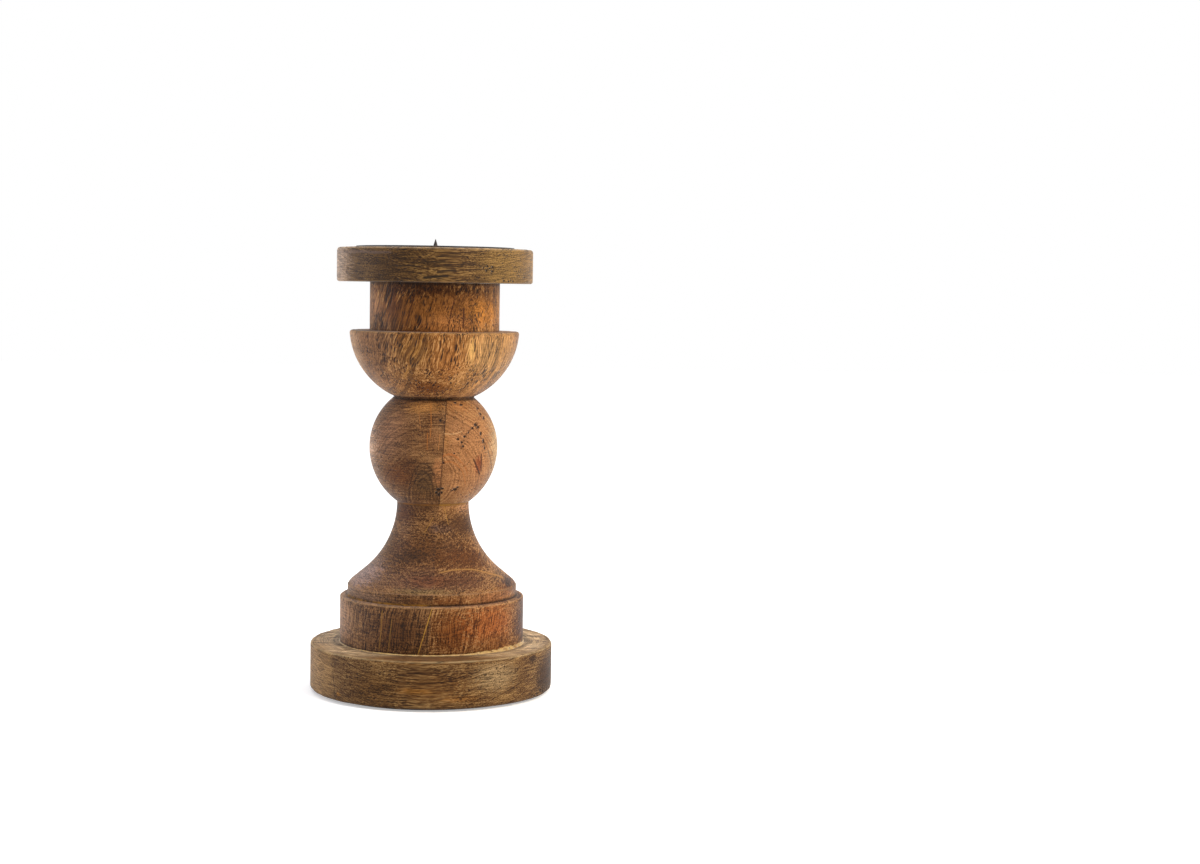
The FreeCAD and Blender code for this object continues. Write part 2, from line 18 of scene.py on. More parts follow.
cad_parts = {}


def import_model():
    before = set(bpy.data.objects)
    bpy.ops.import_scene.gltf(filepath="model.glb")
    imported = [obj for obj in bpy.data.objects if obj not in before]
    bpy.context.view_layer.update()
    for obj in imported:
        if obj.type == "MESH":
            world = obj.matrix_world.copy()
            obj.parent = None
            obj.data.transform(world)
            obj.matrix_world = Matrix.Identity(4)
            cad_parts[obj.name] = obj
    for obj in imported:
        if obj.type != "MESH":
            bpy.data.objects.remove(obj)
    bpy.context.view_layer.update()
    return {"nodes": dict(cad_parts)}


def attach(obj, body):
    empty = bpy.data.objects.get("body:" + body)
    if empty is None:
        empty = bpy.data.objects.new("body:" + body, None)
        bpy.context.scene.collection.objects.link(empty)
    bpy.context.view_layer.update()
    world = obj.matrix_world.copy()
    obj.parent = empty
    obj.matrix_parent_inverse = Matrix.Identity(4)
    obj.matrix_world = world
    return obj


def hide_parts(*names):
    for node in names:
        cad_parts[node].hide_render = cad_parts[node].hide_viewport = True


MM = 0.001
LOG = logging.getLogger("candle_stand")
WHITE = "#FFFFFF"
SHARP_ANGLE = math.radians(38.0)  # an edge that bends by more stays a corner
ARC_STEPS = 4  # the fewest steps that still look round on an arris
AXIS = 1e-6  # a smaller radius lies on the axis
AXIS_FADE = 6.0  # nearer the axis than this many millimetres, a surface's unevenness fades out
TINY = 1e-9  # keeps a division from having zero below it
CUT_REACH = 1e-7  # how near a point has to be to count as lying on a cut

Socket = bpy.types.NodeSocket
Colour = tuple[float, float, float, float]
Point = tuple[float, float]
Triple = tuple[float, float, float]


def linear(code: str) -> Colour:
    """Turns an sRGB hex colour into Blender's linear one, by the standard's own curve.

    Args:
        code: the colour as "#rrggbb".

    Returns:
        The colour as linear red, green, blue and an alpha of one.
    """
    parts = [int(code[start:start + 2], 16) / 255 for start in (1, 3, 5)]
    bent = [part / 12.92 if part <= 0.04045 else ((part + 0.055) / 1.055) ** 2.4 for part in parts]
    return (bent[0], bent[1], bent[2], 1.0)


def inverse(sizes: Triple) -> Triple:
    """Turns sizes into the scales that make each of them one."""
    return tuple(1 / size for size in sizes)


class Bench:
    """The node tree of a material or of the world, with the one way to add a node to it."""

    def __init__(self, owner: bpy.types.Material | bpy.types.World) -> None:
        """Empties the owner's node tree.

        Args:
            owner: the material or the world.
        """
        owner.use_nodes = True
        self.owner = owner
        self.tree = owner.node_tree
        self.tree.nodes.clear()

    def add(self, kind: str, feeds: dict | None = None, **settings: object) -> Socket:
        """Adds a node with its settings, values and links.

        Args:
            kind: the node's type, without its leading "ShaderNode".
            feeds: a socket, a number or a colour for each input, by its name or its place.
            **settings: the node's own properties, and a colour ramp's stops in rising order.

        Returns:
            The first output in use.
        """
        node = self.tree.nodes.new("ShaderNode" + kind)
        for place, (position, colour) in enumerate(settings.pop("stops", ())):
            ramp = node.color_ramp.elements
            stop = ramp[place] if place < 2 else ramp.new(position)
            stop.position = position
            stop.color = linear(colour)
        for name, value in settings.items():
            setattr(node, name, value)
        ready = [socket for socket in node.inputs if socket.enabled]
        for key, value in (feeds or {}).items():
            target = ready[key] if isinstance(key, int) else next(s for s in ready if s.name == key)
            if isinstance(value, bpy.types.NodeSocket):
                self.tree.links.new(value, target)
            else:
                target.default_value = value
        return next((socket for socket in node.outputs if socket.enabled), None)

    def place(self) -> Socket:
        """Gives the place in the piece's own space, in millimetres."""
        place = self.add("TexCoord").node.outputs["Object"]
        return self.add("VectorMath", {0: place, "Scale": 1 / MM}, operation="SCALE")

    def away(self, place: Socket, middle: Triple, scale: Triple) -> Socket:
        """Measures the distance from a point, with each axis scaled.

        Args:
            place: the place to measure.
            middle: the point.
            scale: the factor for each axis.

        Returns:
            The scaled distance.
        """
        off = self.add("VectorMath", {0: place, 1: middle}, operation="SUBTRACT")
        off = self.add("VectorMath", {0: off, 1: scale}, operation="MULTIPLY")
        return self.add("VectorMath", {0: off}, operation="LENGTH").node.outputs["Value"]

    def add_up(self, total: Socket | float, parts: tuple[tuple[Socket, float], ...]) -> Socket:
        """Adds patterns to a value, each counted from its middle of 0.5.

        Args:
            total: the value.
            parts: the patterns, each with how strongly it counts.

        Returns:
            The sum.
        """
        for part, strength in parts:
            shift = self.add("Math", {0: part, 1: 0.5}, operation="SUBTRACT")
            total = self.add("Math", {0: shift, 1: strength, 2: total}, operation="MULTIPLY_ADD")
        return total

    def close(self, surface: dict) -> bpy.types.Material:
        """Ends a material with its surface.

        Args:
            surface: a socket, a number or a colour for each input of the surface.

        Returns:
            The material.
        """
        self.add("OutputMaterial", {"Surface": self.add("BsdfPrincipled", surface)})
        return self.owner


class Side(Enum):
    """The two boards of the lower column's blank."""

    LEFT = -1
    RIGHT = 1


@dataclass
class Outline:
    """Half a section of a turned piece.

    Attributes:
        points: its points as radius and height, in millimetres.
        wear: how worn each point is, from 0 to 1.
        step: the length between points.
    """

    points: list[Point] = field(default_factory=list)
    wear: list[float] = field(default_factory=list)
    step: float = 1.2

    def start(self, radius: float, height: float) -> "Outline":
        """Begins the section.

        Args:
            radius: the first point's radius.
            height: the first point's height.

        Returns:
            This outline.
        """
        self.points.append((radius, height))
        self.wear.append(0.0)
        return self

    def line(self, radius: float, height: float, wear: float = 0.0) -> "Outline":
        """Runs straight to the next point.

        Args:
            radius: the next point's radius.
            height: the next point's height.
            wear: how much the run gives way to handling, from 0 to 1.

        Returns:
            This outline.
        """
        first = self.points[-1]
        count = max(1, round(math.dist(first, (radius, height)) / self.step))
        for number in range(1, count + 1):
            share = number / count
            self.points.append((first[0] + (radius - first[0]) * share,
                                first[1] + (height - first[1]) * share))
            self.wear.append(wear)
        return self

    def arc(self, centre: Point, radius: float, height: float, wear: float = 0.0,
            step: float | None = None) -> "Outline":
        """Runs along the short arc about a centre to the next point.

        Args:
            centre: the arc's centre as radius and height.
            radius: the next point's radius.
            height: the next point's height.
            wear: how much the run gives way to handling, from 0 to 1.
            step: the length between points, if it is finer than the rest.

        Returns:
            This outline.
        """
        first = self.points[-1]
        begin = math.atan2(first[1] - centre[1], first[0] - centre[0])
        turn = math.atan2(height - centre[1], radius - centre[0]) - begin
        turn = (turn + math.pi) % (2 * math.pi) - math.pi
        reach = math.dist(first, centre)
        last_reach = math.dist((radius, height), centre)
        count = max(ARC_STEPS, round(abs(turn) * reach / (step or self.step)))
        for number in range(1, count + 1):
            share = number / count
            away = reach + (last_reach - reach) * share
            self.points.append((centre[0] + away * math.cos(begin + turn * share),
                                centre[1] + away * math.sin(begin + turn * share)))
            self.wear.append(wear)
        return self


def bend_centre(start: Point, end: Point, radius: float) -> Point:
    """Finds the centre of an arc from its two ends and its radius.

    Args:
        start: the first end as radius and height.
        end: the second end.
        radius: the arc's own radius.

    Returns:
        The centre as radius and height, left of the way from start to end.
    """
    across = (end[0] - start[0], end[1] - start[1])
    span = math.hypot(*across)
    rise = math.sqrt(max(radius * radius - span * span / 4, 0.0))
    return ((start[0] + end[0]) / 2 - rise * across[1] / span,
            (start[1] + end[1]) / 2 + rise * across[0] / span)


def level_centre(start: Point, end: Point, level: float) -> Point:
    """Finds the centre, at a given height, of the arc through two points.

    Args:
        start: the first point as radius and height.
        end: the second point.
        level: the centre's height.

    Returns:
        The centre as radius and height.
    """
    gap = (start[1] - level) ** 2 - (end[1] - level) ** 2
    return ((start[0] ** 2 - end[0] ** 2 + gap) / (2 * (start[0] - end[0])), level)


@dataclass(frozen=True)
class Wave:
    """A wave in a turned surface, round the axis.

    Attributes:
        count: how often it rises in one turn.
        slant: how far it twists, in radians for each millimetre of height.
        shift: how strongly a piece's own seed moves it.
        size: its size beside the other waves.
    """

    count: int
    slant: float
    shift: float
    size: float = 1.0


DRY_WAVES = (Wave(2, 0.0, 1.0), Wave(3, 0.11, 2.0, 0.6), Wave(5, -0.17, 1.0, 0.5))
RUB_WAVES = (Wave(7, 0.0, 3.0), Wave(17, 0.0, 1.0), Wave(29, 0.0, -2.0), Wave(61, 0.0, 5.0, 0.8))


@dataclass(frozen=True)
class Hand:
    """What a hand held tool and years of handling do to a turned surface, in millimetres.

    Attributes:
        swell: how deep the broad waves are that the tool and the drying wood leave.
        nibble: how deep a worn arris is rubbed away.
        seed: what sets one piece's waves apart from another's.
    """

    swell: float = 0.06
    nibble: float = 0.28
    seed: float = 0.0

    def waves(self, kinds: tuple[Wave, ...], angle: np.ndarray, height: np.ndarray) -> np.ndarray:
        """Adds up waves.

        Args:
            kinds: the waves.
            angle: the points' angles round the axis.
            height: their heights.

        Returns:
            The sum at each point, from -1 to 1.
        """
        total = sum(wave.size * np.sin(wave.count * angle + wave.slant * height + wave.shift * self.seed)
                    for wave in kinds)
        return total / sum(wave.size for wave in kinds)

    def depth(self, angle: np.ndarray, height: np.ndarray, wear: np.ndarray) -> np.ndarray:
        """Works out how far each point moves inwards.

        Args:
            angle: the points' angles round the axis.
            height: their heights.
            wear: how worn each one is, from 0 to 1.

        Returns:
            The inward moves in millimetres.
        """
        swell = 0.5 + 0.5 * self.waves(DRY_WAVES, angle, height)
        # About a third of the rub is found all round an arris, and the waves bring the rest in places.
        rub = np.clip(0.35 + 0.65 * self.waves(RUB_WAVES, angle, height), 0, 1)
        return self.swell * swell + self.nibble * wear * rub


def revolve(name: str, outline: Outline, hand: Hand, segments: int) -> bpy.types.Object:
    """Turns a closed section round the axis into a mesh.

    Args:
        name: the piece's name.
        outline: its section. Ends on the axis become one point each.
        hand: how uneven its surface is.
        segments: the number of steps round the axis.

    Returns:
        The new object, linked to the scene.
    """
    radius = np.array([point[0] for point in outline.points])
    height = np.array([point[1] for point in outline.points])
    wear = np.array(outline.wear)
    along = np.stack([np.gradient(radius), np.gradient(height)], axis=1)
    along /= np.linalg.norm(along, axis=1)[:, None] + TINY
    inward = np.stack([-along[:, 1], along[:, 0]], axis=1)
    angle = np.arange(segments) / segments * 2 * math.pi
    grid_angle, grid_height = np.meshgrid(angle, height)
    depth = hand.depth(grid_angle, grid_height, wear[:, None])
    depth = depth * np.clip(radius / AXIS_FADE, 0, 1)[:, None]
    ring = radius[:, None] + inward[:, 0][:, None] * depth
    level = height[:, None] + inward[:, 1][:, None] * depth
    points = np.stack([ring * np.cos(grid_angle), ring * np.sin(grid_angle), level], axis=2) * MM
    build = bmesh.new()
    rows = []
    for number, row in enumerate(points):
        if radius[number] < AXIS:
            rows.append([build.verts.new((0.0, 0.0, height[number] * MM))])
        else:
            rows.append([build.verts.new(point) for point in row])
    closed = len(rows[0]) > 1 and len(rows[-1]) > 1
    pairs = list(zip(rows, rows[1:])) + ([(rows[-1], rows[0])] if closed else [])
    for low, high in pairs:
        for step in range(segments):
            after = (step + 1) % segments
            corners = [low[step % len(low)], low[after % len(low)],
                       high[after % len(high)], high[step % len(high)]]
            build.faces.new(list(dict.fromkeys(corners)))
    bmesh.ops.recalc_face_normals(build, faces=build.faces)
    return as_object(name, build)


def shade(mesh: bpy.types.Mesh) -> None:
    """Shades a mesh smooth and keeps its corners."""
    mesh.shade_smooth()
    mesh.set_sharp_from_angle(angle=SHARP_ANGLE)


def as_object(name: str, build: bmesh.types.BMesh) -> bpy.types.Object:
    """Turns a finished bmesh into a smooth shaded object.

    Args:
        name: the piece's name.
        build: the mesh, which is freed.

    Returns:
        The new object, linked to the scene.
    """
    mesh = bpy.data.meshes.new(name)
    build.to_mesh(mesh)
    build.free()
    shade(mesh)
    piece = bpy.data.objects.new(name, mesh)
    bpy.context.scene.collection.objects.link(piece)
    return piece


@dataclass(frozen=True)
class Lamp:
    """A soft rectangular lamp that faces the stand.

    Attributes:
        name: its name.
        place: where it hangs, in millimetres.
        wide: its width.
        tall: its height.
        power: its power in watts.
        colour: its light's colour.
    """

    name: str
    place: Triple
    wide: float
    tall: float
    power: float
    colour: str


LAMPS = (
    Lamp("key", (560, -560, 700), 520, 520, 8.5, "#FFF6EA"),
    Lamp("right_strip", (760, -20, 260), 260, 900, 2.7, "#FFEBD2"),
    Lamp("left_strip", (-760, 0, 260), 260, 900, 3.8, "#EEF0FF"),
    Lamp("overhead", (0, 80, 900), 700, 700, 5.6, "#FFFFFF"),
)


def straight_sight(bench: Bench) -> Socket:
    """Tells rays of the camera, a shiny surface or glass from the light that falls on things.

    Args:
        bench: the bench of the floor's material or of the world.

    Returns:
        One for such a ray, and else zero.
    """
    rays = bench.add("LightPath").node.outputs
    seen = rays["Is Camera Ray"]
    for kind in ("Is Glossy Ray", "Is Transmission Ray"):
        seen = bench.add("Math", {0: seen, 1: rays[kind]}, operation="MAXIMUM")
    return seen


@dataclass
class Studio:
    """Floor, lamps and camera. The camera's values were fitted to the ellipses in the photograph.

    Attributes:
        eye_height: the camera's height in millimetres.
        eye_distance: its distance from the stand's axis.
        yaw: how far it looks to the right, in degrees.
        pitch: how far it looks down.
        roll: how far it is tilted.
        lens: its focal length.
        sensor: the width of its sensor.
        view_end: how far it sees, in metres.
        aim_height: the height that the lamps face, in millimetres.
        floor_half: half the floor's width.
        floor_colour: the colour of the floor, which also takes the shadow.
        floor_glow: how bright the floor shows by itself under the stand, where 1 is white.
        glow_start: the distance at which it starts to get brighter.
        glow_end: the distance at which it shows white.
        room_light: the strength of the even light.
    """

    eye_height: float = 201.45
    eye_distance: float = 1010.3
    yaw: float = 4.687
    pitch: float = 4.070
    roll: float = 0.911
    lens: float = 61.02
    sensor: float = 36.0
    view_end: float = 100.0
    aim_height: float = 110.0
    floor_half: float = 4000.0
    floor_colour: str = "#F2F2F2"
    floor_glow: float = 0.42
    glow_start: float = 120.0
    glow_end: float = 900.0
    room_light: float = 0.15

    def place_camera(self) -> None:
        """Sets up the camera at the photograph's viewpoint."""
        data = bpy.data.cameras.new("viewpoint")
        data.lens = self.lens
        data.sensor_width = self.sensor
        data.clip_end = self.view_end
        camera = bpy.data.objects.new("viewpoint", data)
        bpy.context.scene.collection.objects.link(camera)
        yaw, pitch, roll = (math.radians(value) for value in (self.yaw, self.pitch, self.roll))
        ahead = Vector((math.sin(yaw) * math.cos(pitch), math.cos(yaw) * math.cos(pitch), -math.sin(pitch)))
        right = Vector((math.cos(yaw), -math.sin(yaw), 0.0))
        up = right.cross(ahead)
        tilted = right * math.cos(roll) + up * math.sin(roll)
        raised = up * math.cos(roll) - right * math.sin(roll)
        turn = Matrix((tilted, raised, -ahead)).transposed()
        place = Vector((0.0, -self.eye_distance, self.eye_height)) * MM
        camera.matrix_world = Matrix.Translation(place) @ turn.to_4x4()
        bpy.context.scene.camera = camera

    def lay_floor(self) -> None:
        """Lays the pale floor, which shows white where no shadow falls on it."""
        half = self.floor_half * MM
        build = bmesh.new()
        corners = [(-half, -half, 0), (half, -half, 0), (half, half, 0), (-half, half, 0)]
        build.faces.new([build.verts.new(corner) for corner in corners])
        floor = as_object("floor", build)
        bench = Bench(bpy.data.materials.new("pale floor"))
        card = bench.add("BsdfDiffuse", {"Color": linear(self.floor_colour)})
        away = bench.away(bench.place(), (0.0, 0.0, 0.0), (1.0, 1.0, 1.0))
        level = bench.add("MapRange", {"Value": away, "From Min": self.glow_start, "From Max": self.glow_end,
                                       "To Min": self.floor_glow, "To Max": 1.0})
        level = bench.add("Math", {0: straight_sight(bench), 1: level}, operation="MULTIPLY")
        glow = bench.add("Emission", {"Color": linear(WHITE), "Strength": level})
        bench.add("OutputMaterial", {"Surface": bench.add("AddShader", {0: card, 1: glow})})
        floor.data.materials.append(bench.owner)

    def hang_lamps(self) -> None:
        """Hangs the soft lamps."""
        for lamp in LAMPS:
            data = bpy.data.lights.new(lamp.name, "AREA")
            data.shape = "RECTANGLE"
            data.size = lamp.wide * MM
            data.size_y = lamp.tall * MM
            data.energy = lamp.power
            data.color = linear(lamp.colour)[:3]
            hung = bpy.data.objects.new(lamp.name, data)
            hung.location = Vector(lamp.place) * MM
            aim = Vector((0, 0, self.aim_height * MM)) - hung.location
            hung.rotation_euler = aim.to_track_quat("-Z", "Y").to_euler()
            bpy.context.scene.collection.objects.link(hung)

    def light_room(self) -> None:
        """Sets the even light of the room, and the white that the camera and glossy things see."""
        bench = Bench(bpy.data.worlds.new("room"))
        even = bench.add("Background", {"Color": linear(WHITE), "Strength": self.room_light})
        white = bench.add("Background", {"Color": linear(WHITE), "Strength": 1.0})
        both = bench.add("MixShader", {0: straight_sight(bench), 1: even, 2: white})
        bench.add("OutputWorld", {"Surface": both})
        bpy.context.scene.world = bench.owner
        bpy.context.scene.view_settings.view_transform = "Standard"


@dataclass(frozen=True)
class Patch:
    """A stained, bleached or figured place in the wood, or a place of painted light or shade, as a soft egg
    shape with streaky edges.

    Attributes:
        at: its middle in millimetres.
        reach: how far it fades out along each axis.
        colour: its own colour.
        strength: how much of that colour it takes at its middle.
        soft: the share of its reach over which it fades.
    """

    at: Triple
    reach: Triple
    colour: str
    strength: float
    soft: float = 0.75


@dataclass(frozen=True)
class Layer:
    """A layer through the wood: a dark growth zone, a glue line or a filled crack.

    A layer with a bend is a growth ring: part of a shell round the heart of the log.

    Attributes:
        at: a point of its middle plane in millimetres, or the heart's place for a ring.
        across: the direction square to that plane, or for a ring the axes that it is round in.
        half: half its thickness.
        colour: its own colour.
        strength: how much of that colour it takes.
        low: the lowest corner of the room that it shows in.
        high: the highest corner of that room.
        bend: the ring's radius, or nothing for a flat layer.
        wander: how much it follows the grain's sway.
    """

    at: Triple
    across: Triple
    half: float
    colour: str
    strength: float
    low: Triple = (-70.0, -70.0, -10.0)
    high: Triple = (70.0, 70.0, 240.0)
    bend: float = 0.0
    wander: float = 1.0


@dataclass(frozen=True)
class Rim:
    """A ring round the axis: a pale arris, partly worn and partly a painted highlight; the old glue of a
    joint; or a dark ring at a joint, crease or lower edge, which is painted shade with some grime at the
    joints.

    Attributes:
        radius: its radius in millimetres.
        height: its level.
        half: how far it fades out.
        colour: its own colour.
        strength: how much of that colour it takes.
        broken: how much of it is missing here and there, from 0 to 1.
    """

    radius: float
    height: float
    half: float
    colour: str
    strength: float
    broken: float = 0.5


@dataclass(frozen=True)
class Hole:
    """A pinhole bored by an insect, or a short check.

    Attributes:
        at: its middle in millimetres.
        size: its half size along each axis.
    """

    at: Triple
    size: Triple


@dataclass(frozen=True)
class Figure:
    """Streaks that run their own way over part of a board, as growth rings do on end grain.

    Attributes:
        along: the way that the streaks run.
        width: a streak's width in millimetres.
        length: its length.
        strength: how much it lightens and darkens the wood.
        span: the lowest and highest level of the part.
    """

    along: Triple
    width: float
    length: float
    strength: float
    span: Point


@dataclass(frozen=True)
class Ground:
    """What the patterns of one wood share while its material is built.

    Attributes:
        bench: the material's bench.
        place: the place in the piece's own space, in millimetres.
        swayed: that place, moved by the grain's slow sway.
        grain: the swayed place turned so that its third axis runs along the fibre.
        radius: the distance from the axis.
        level: the height.
        fine: the fibres.
        band: the broader streaks.
    """

    bench: Bench
    place: Socket
    swayed: Socket
    grain: Socket
    radius: Socket
    level: Socket
    fine: Socket
    band: Socket


@dataclass(frozen=True)
class Wood:
    """Mango wood, sawn, turned, sanded and waxed.

    Its vessels are wide enough to see: short dark dashes along the grain and dots on end grain.
    Fine fibres streak it, old stains cross it, and the thin wax leaves it almost matt. Some of its patches
    and rims are painted light and shade, and its pinholes are darkened with painted shade.
    Widths, lengths and spacings are in millimetres. A strength says how much a pattern lightens and
    darkens the wood, and a rise how far it stands up, or lies deeper when it is below zero.
    Real fibres and tool marks are too fine to show in the render, so they are drawn as coarse as they
    need to show.
    """

    name: str
    dark: str
    middle: str
    light: str
    fibre: Triple
    fibre_width: float = 0.38
    fibre_length: float = 7.0
    fibre_strength: float = 1.0
    band_width: float = 1.2
    band_length: float = 24.0
    band_strength: float = 0.5
    cloud_width: float = 11.0
    cloud_length: float = 42.0
    cloud_strength: float = 0.45
    heart: Triple = (60.0, 15.0, 0.0)
    ring_width: float = 3.0
    ring_strength: float = 0.35
    tool_mark: float = 0.55
    tool_strength: float = 0.2
    tool_face: float = 0.0
    vessel_colour: str = "#24130A"
    vessel_spacing: float = 1.1
    vessel_length: float = 5.0
    vessel_share: float = 0.2
    vessel_strength: float = 0.8
    sway: float = 4.0
    sway_span: float = 26.0
    roughness: float = 0.52
    dust: float = 0.18
    wax: float = 0.15
    wax_ior: float = 1.46
    # painted shade: the near black inside the pinholes and checks
    pit_shade_colour: str = "#120805"
    fibre_rise: float = 0.10
    tool_rise: float = 0.05
    vessel_rise: float = -0.14
    pit_rise: float = -0.5
    patch_dark: float = 0.3
    patch_light: float = 1.85
    edge_band: float = 1.6
    edge_fibre: float = 0.7
    figures: tuple[Figure, ...] = ()
    patches: tuple[Patch, ...] = ()
    layers: tuple[Layer, ...] = ()
    rims: tuple[Rim, ...] = ()
    holes: tuple[Hole, ...] = ()

    def dress(self) -> bpy.types.Material:
        """Builds the material.

        Returns:
            The material.
        """
        ground = self.lay_ground()
        bench = ground.bench
        marks = self.tool_marks(ground)
        tone = self.mix_tone(ground, marks)
        vessel = self.vessels(ground)
        pit = self.pits(ground)
        colour = bench.add("ValToRGB", {"Fac": tone},
                           stops=((0.08, self.dark), (0.5, self.middle), (0.92, self.light)))
        colour = self.lay_patches(ground, colour, tone)
        colour = self.lay_layers(ground, colour)
        colour = self.lay_rims(ground, colour)
        # The vessels take their own dark colour; the pits take painted shade.
        for mask, own in ((vessel, self.vessel_colour), (pit, self.pit_shade_colour)):
            colour = bench.add("Mix", {"Factor": mask, "A": colour, "B": linear(own)}, data_type="RGBA")
        height = 0.0
        for part, rise in ((ground.fine, self.fibre_rise), (marks, self.tool_rise),
                           (vessel, self.vessel_rise), (pit, self.pit_rise)):
            height = bench.add("Math", {0: part, 1: rise, 2: height}, operation="MULTIPLY_ADD")
        # The hollows between the fibres are duller than their crests, which hands and cloths have rubbed.
        dull = bench.add("MapRange", {"Value": ground.fine, "From Min": 0.3, "From Max": 0.7,
                                      "To Min": self.roughness + 0.1, "To Max": self.roughness - 0.08})
        normal = bench.add("Bump", {"Height": height, "Distance": MM, "Strength": 1.0})
        return bench.close({"Base Color": colour, "Roughness": dull, "Normal": normal,
                            "IOR": self.wax_ior, "Specular IOR Level": self.wax,
                            "Sheen Weight": self.dust, "Sheen Roughness": 0.4})

    def lay_ground(self) -> Ground:
        """Makes the material with what its patterns share.

        Returns:
            The shared sockets.
        """
        bench = Bench(bpy.data.materials.new(self.name))
        place = bench.place()
        drift = bench.add("TexNoise", {"Vector": place, "Scale": 1 / self.sway_span, "Detail": 2.0})
        drift = bench.add("VectorMath", {0: drift.node.outputs["Color"], 1: (0.5, 0.5, 0.5)},
                          operation="SUBTRACT")
        swayed = bench.add("VectorMath", {0: drift, 1: (self.sway * 2,) * 3, 2: place},
                           operation="MULTIPLY_ADD")
        grain = self.along(bench, swayed, self.fibre)
        return Ground(bench, place, swayed, grain,
                      radius=bench.away(place, (0.0, 0.0, 0.0), (1.0, 1.0, 0.0)),
                      level=bench.add("SeparateXYZ", {"Vector": place}).node.outputs["Z"],
                      fine=self.streaks(bench, grain, self.fibre_width, self.fibre_length),
                      band=self.streaks(bench, grain, self.band_width, self.band_length))

    def along(self, bench: Bench, place: Socket, way: Triple) -> Socket:
        """Turns the wood's own space so that its third axis runs a given way.

        Args:
            bench: the material's bench.
            place: the place in the wood.
            way: the direction of the third axis.

        Returns:
            The place in the turned space.
        """
        turn = Vector(way).normalized().rotation_difference(Vector((0.0, 0.0, 1.0)))
        return bench.add("VectorRotate", {"Vector": place, "Axis": turn.axis, "Angle": turn.angle},
                         rotation_type="AXIS_ANGLE")

    def streaks(self, bench: Bench, grain: Socket, width: float, length: float) -> Socket:
        """Draws streaks of one width along the third axis.

        Args:
            bench: the material's bench.
            grain: the place in the streaks' own space.
            width: a streak's width in millimetres.
            length: its length.

        Returns:
            The streaks from 0 to 1, mostly near 0.5.
        """
        cells = bench.add("VectorMath", {0: grain, 1: inverse((width, width, length))},
                          operation="MULTIPLY")
        return bench.add("TexNoise", {"Vector": cells, "Scale": 1.0, "Detail": 3.0, "Roughness": 0.6})

    def tool_marks(self, ground: Ground) -> Socket:
        """Draws the rings that the turning tool left, also on a flat face where tool_face says so.

        Args:
            ground: what the patterns share.

        Returns:
            The marks from 0 to 1.
        """
        bench = ground.bench
        facing = bench.add("Math", {0: ground.radius, 1: self.tool_face}, operation="MULTIPLY")
        facing = bench.add("CombineXYZ", {2: facing})
        # The rings lie level, so they change quickly with height and hardly along themselves.
        marks = bench.add("VectorMath", {0: ground.place, 1: (0.04, 0.04, 1.0), 2: facing},
                          operation="MULTIPLY_ADD")
        return bench.add("TexNoise", {"Vector": marks, "Scale": 1 / self.tool_mark, "Detail": 3.0,
                                      "Roughness": 0.65})

    def mix_tone(self, ground: Ground, marks: Socket) -> Socket:
        """Mixes clouds, bands, fibres, growth rings, tool marks and figures into light and dark.

        Args:
            ground: what the patterns share.
            marks: the tool's marks.

        Returns:
            The tone, which is 0.5 for the wood's middle colour.
        """
        bench = ground.bench
        cloud = self.streaks(bench, ground.grain, self.cloud_width, self.cloud_length)
        # Growth rings are long tubes round the heart, so the way along the grain hardly counts.
        away = bench.away(ground.grain, self.heart, (1.0, 1.0, 0.03))
        rings = bench.add("TexNoise", {"W": away, "Scale": 1 / self.ring_width, "Detail": 3.0,
                                       "Roughness": 0.6}, noise_dimensions="1D")
        tone = bench.add_up(0.5, ((cloud, self.cloud_strength * 2), (ground.band, self.band_strength * 2),
                                  (ground.fine, self.fibre_strength * 2), (rings, self.ring_strength * 2),
                                  (marks, self.tool_strength * 2)))
        for figure in self.figures:
            streak = self.streaks(bench, self.along(bench, ground.swayed, figure.along), figure.width,
                                  figure.length)
            shift = bench.add("Math", {0: streak, 1: 0.5}, operation="SUBTRACT")
            for edge, way in zip(figure.span, (1.0, -1.0)):
                gate = bench.add("MapRange", {"Value": ground.level, "From Min": edge - way,
                                              "From Max": edge + way})
                shift = bench.add("Math", {0: shift, 1: gate}, operation="MULTIPLY")
            tone = bench.add("Math", {0: shift, 1: figure.strength * 2, 2: tone}, operation="MULTIPLY_ADD")
        return tone

    def vessels(self, ground: Ground) -> Socket:
        """Draws the open vessels, one long thin egg in each cell of the wood, in looser and denser crowds.

        Args:
            ground: what the patterns share.

        Returns:
            How much of the vessels' colour each place takes.
        """
        bench = ground.bench
        size = inverse((self.vessel_spacing, self.vessel_spacing, self.vessel_length))
        cells = bench.add("VectorMath", {0: ground.grain, 1: size}, operation="MULTIPLY")
        near = bench.add("TexVoronoi", {"Vector": cells, "Scale": 1.0, "Randomness": 1.0})
        # A crowd is some four cells wide, and its vessels are 0.4 to 1.5 times as wide as the share says.
        crowd = bench.add("TexNoise", {"Vector": cells, "Scale": 0.23, "Detail": 1.0})
        limit = bench.add("MapRange", {"Value": crowd, "From Min": 0.35, "From Max": 0.65,
                                       "To Min": self.vessel_share * 0.4, "To Max": self.vessel_share * 1.5})
        ratio = bench.add("Math", {0: near, 1: limit}, operation="DIVIDE")
        return bench.add("MapRange", {"Value": ratio, "From Min": 0.7, "From Max": 1.4,
                                      "To Min": self.vessel_strength, "To Max": 0.0},
                         interpolation_type="SMOOTHSTEP")

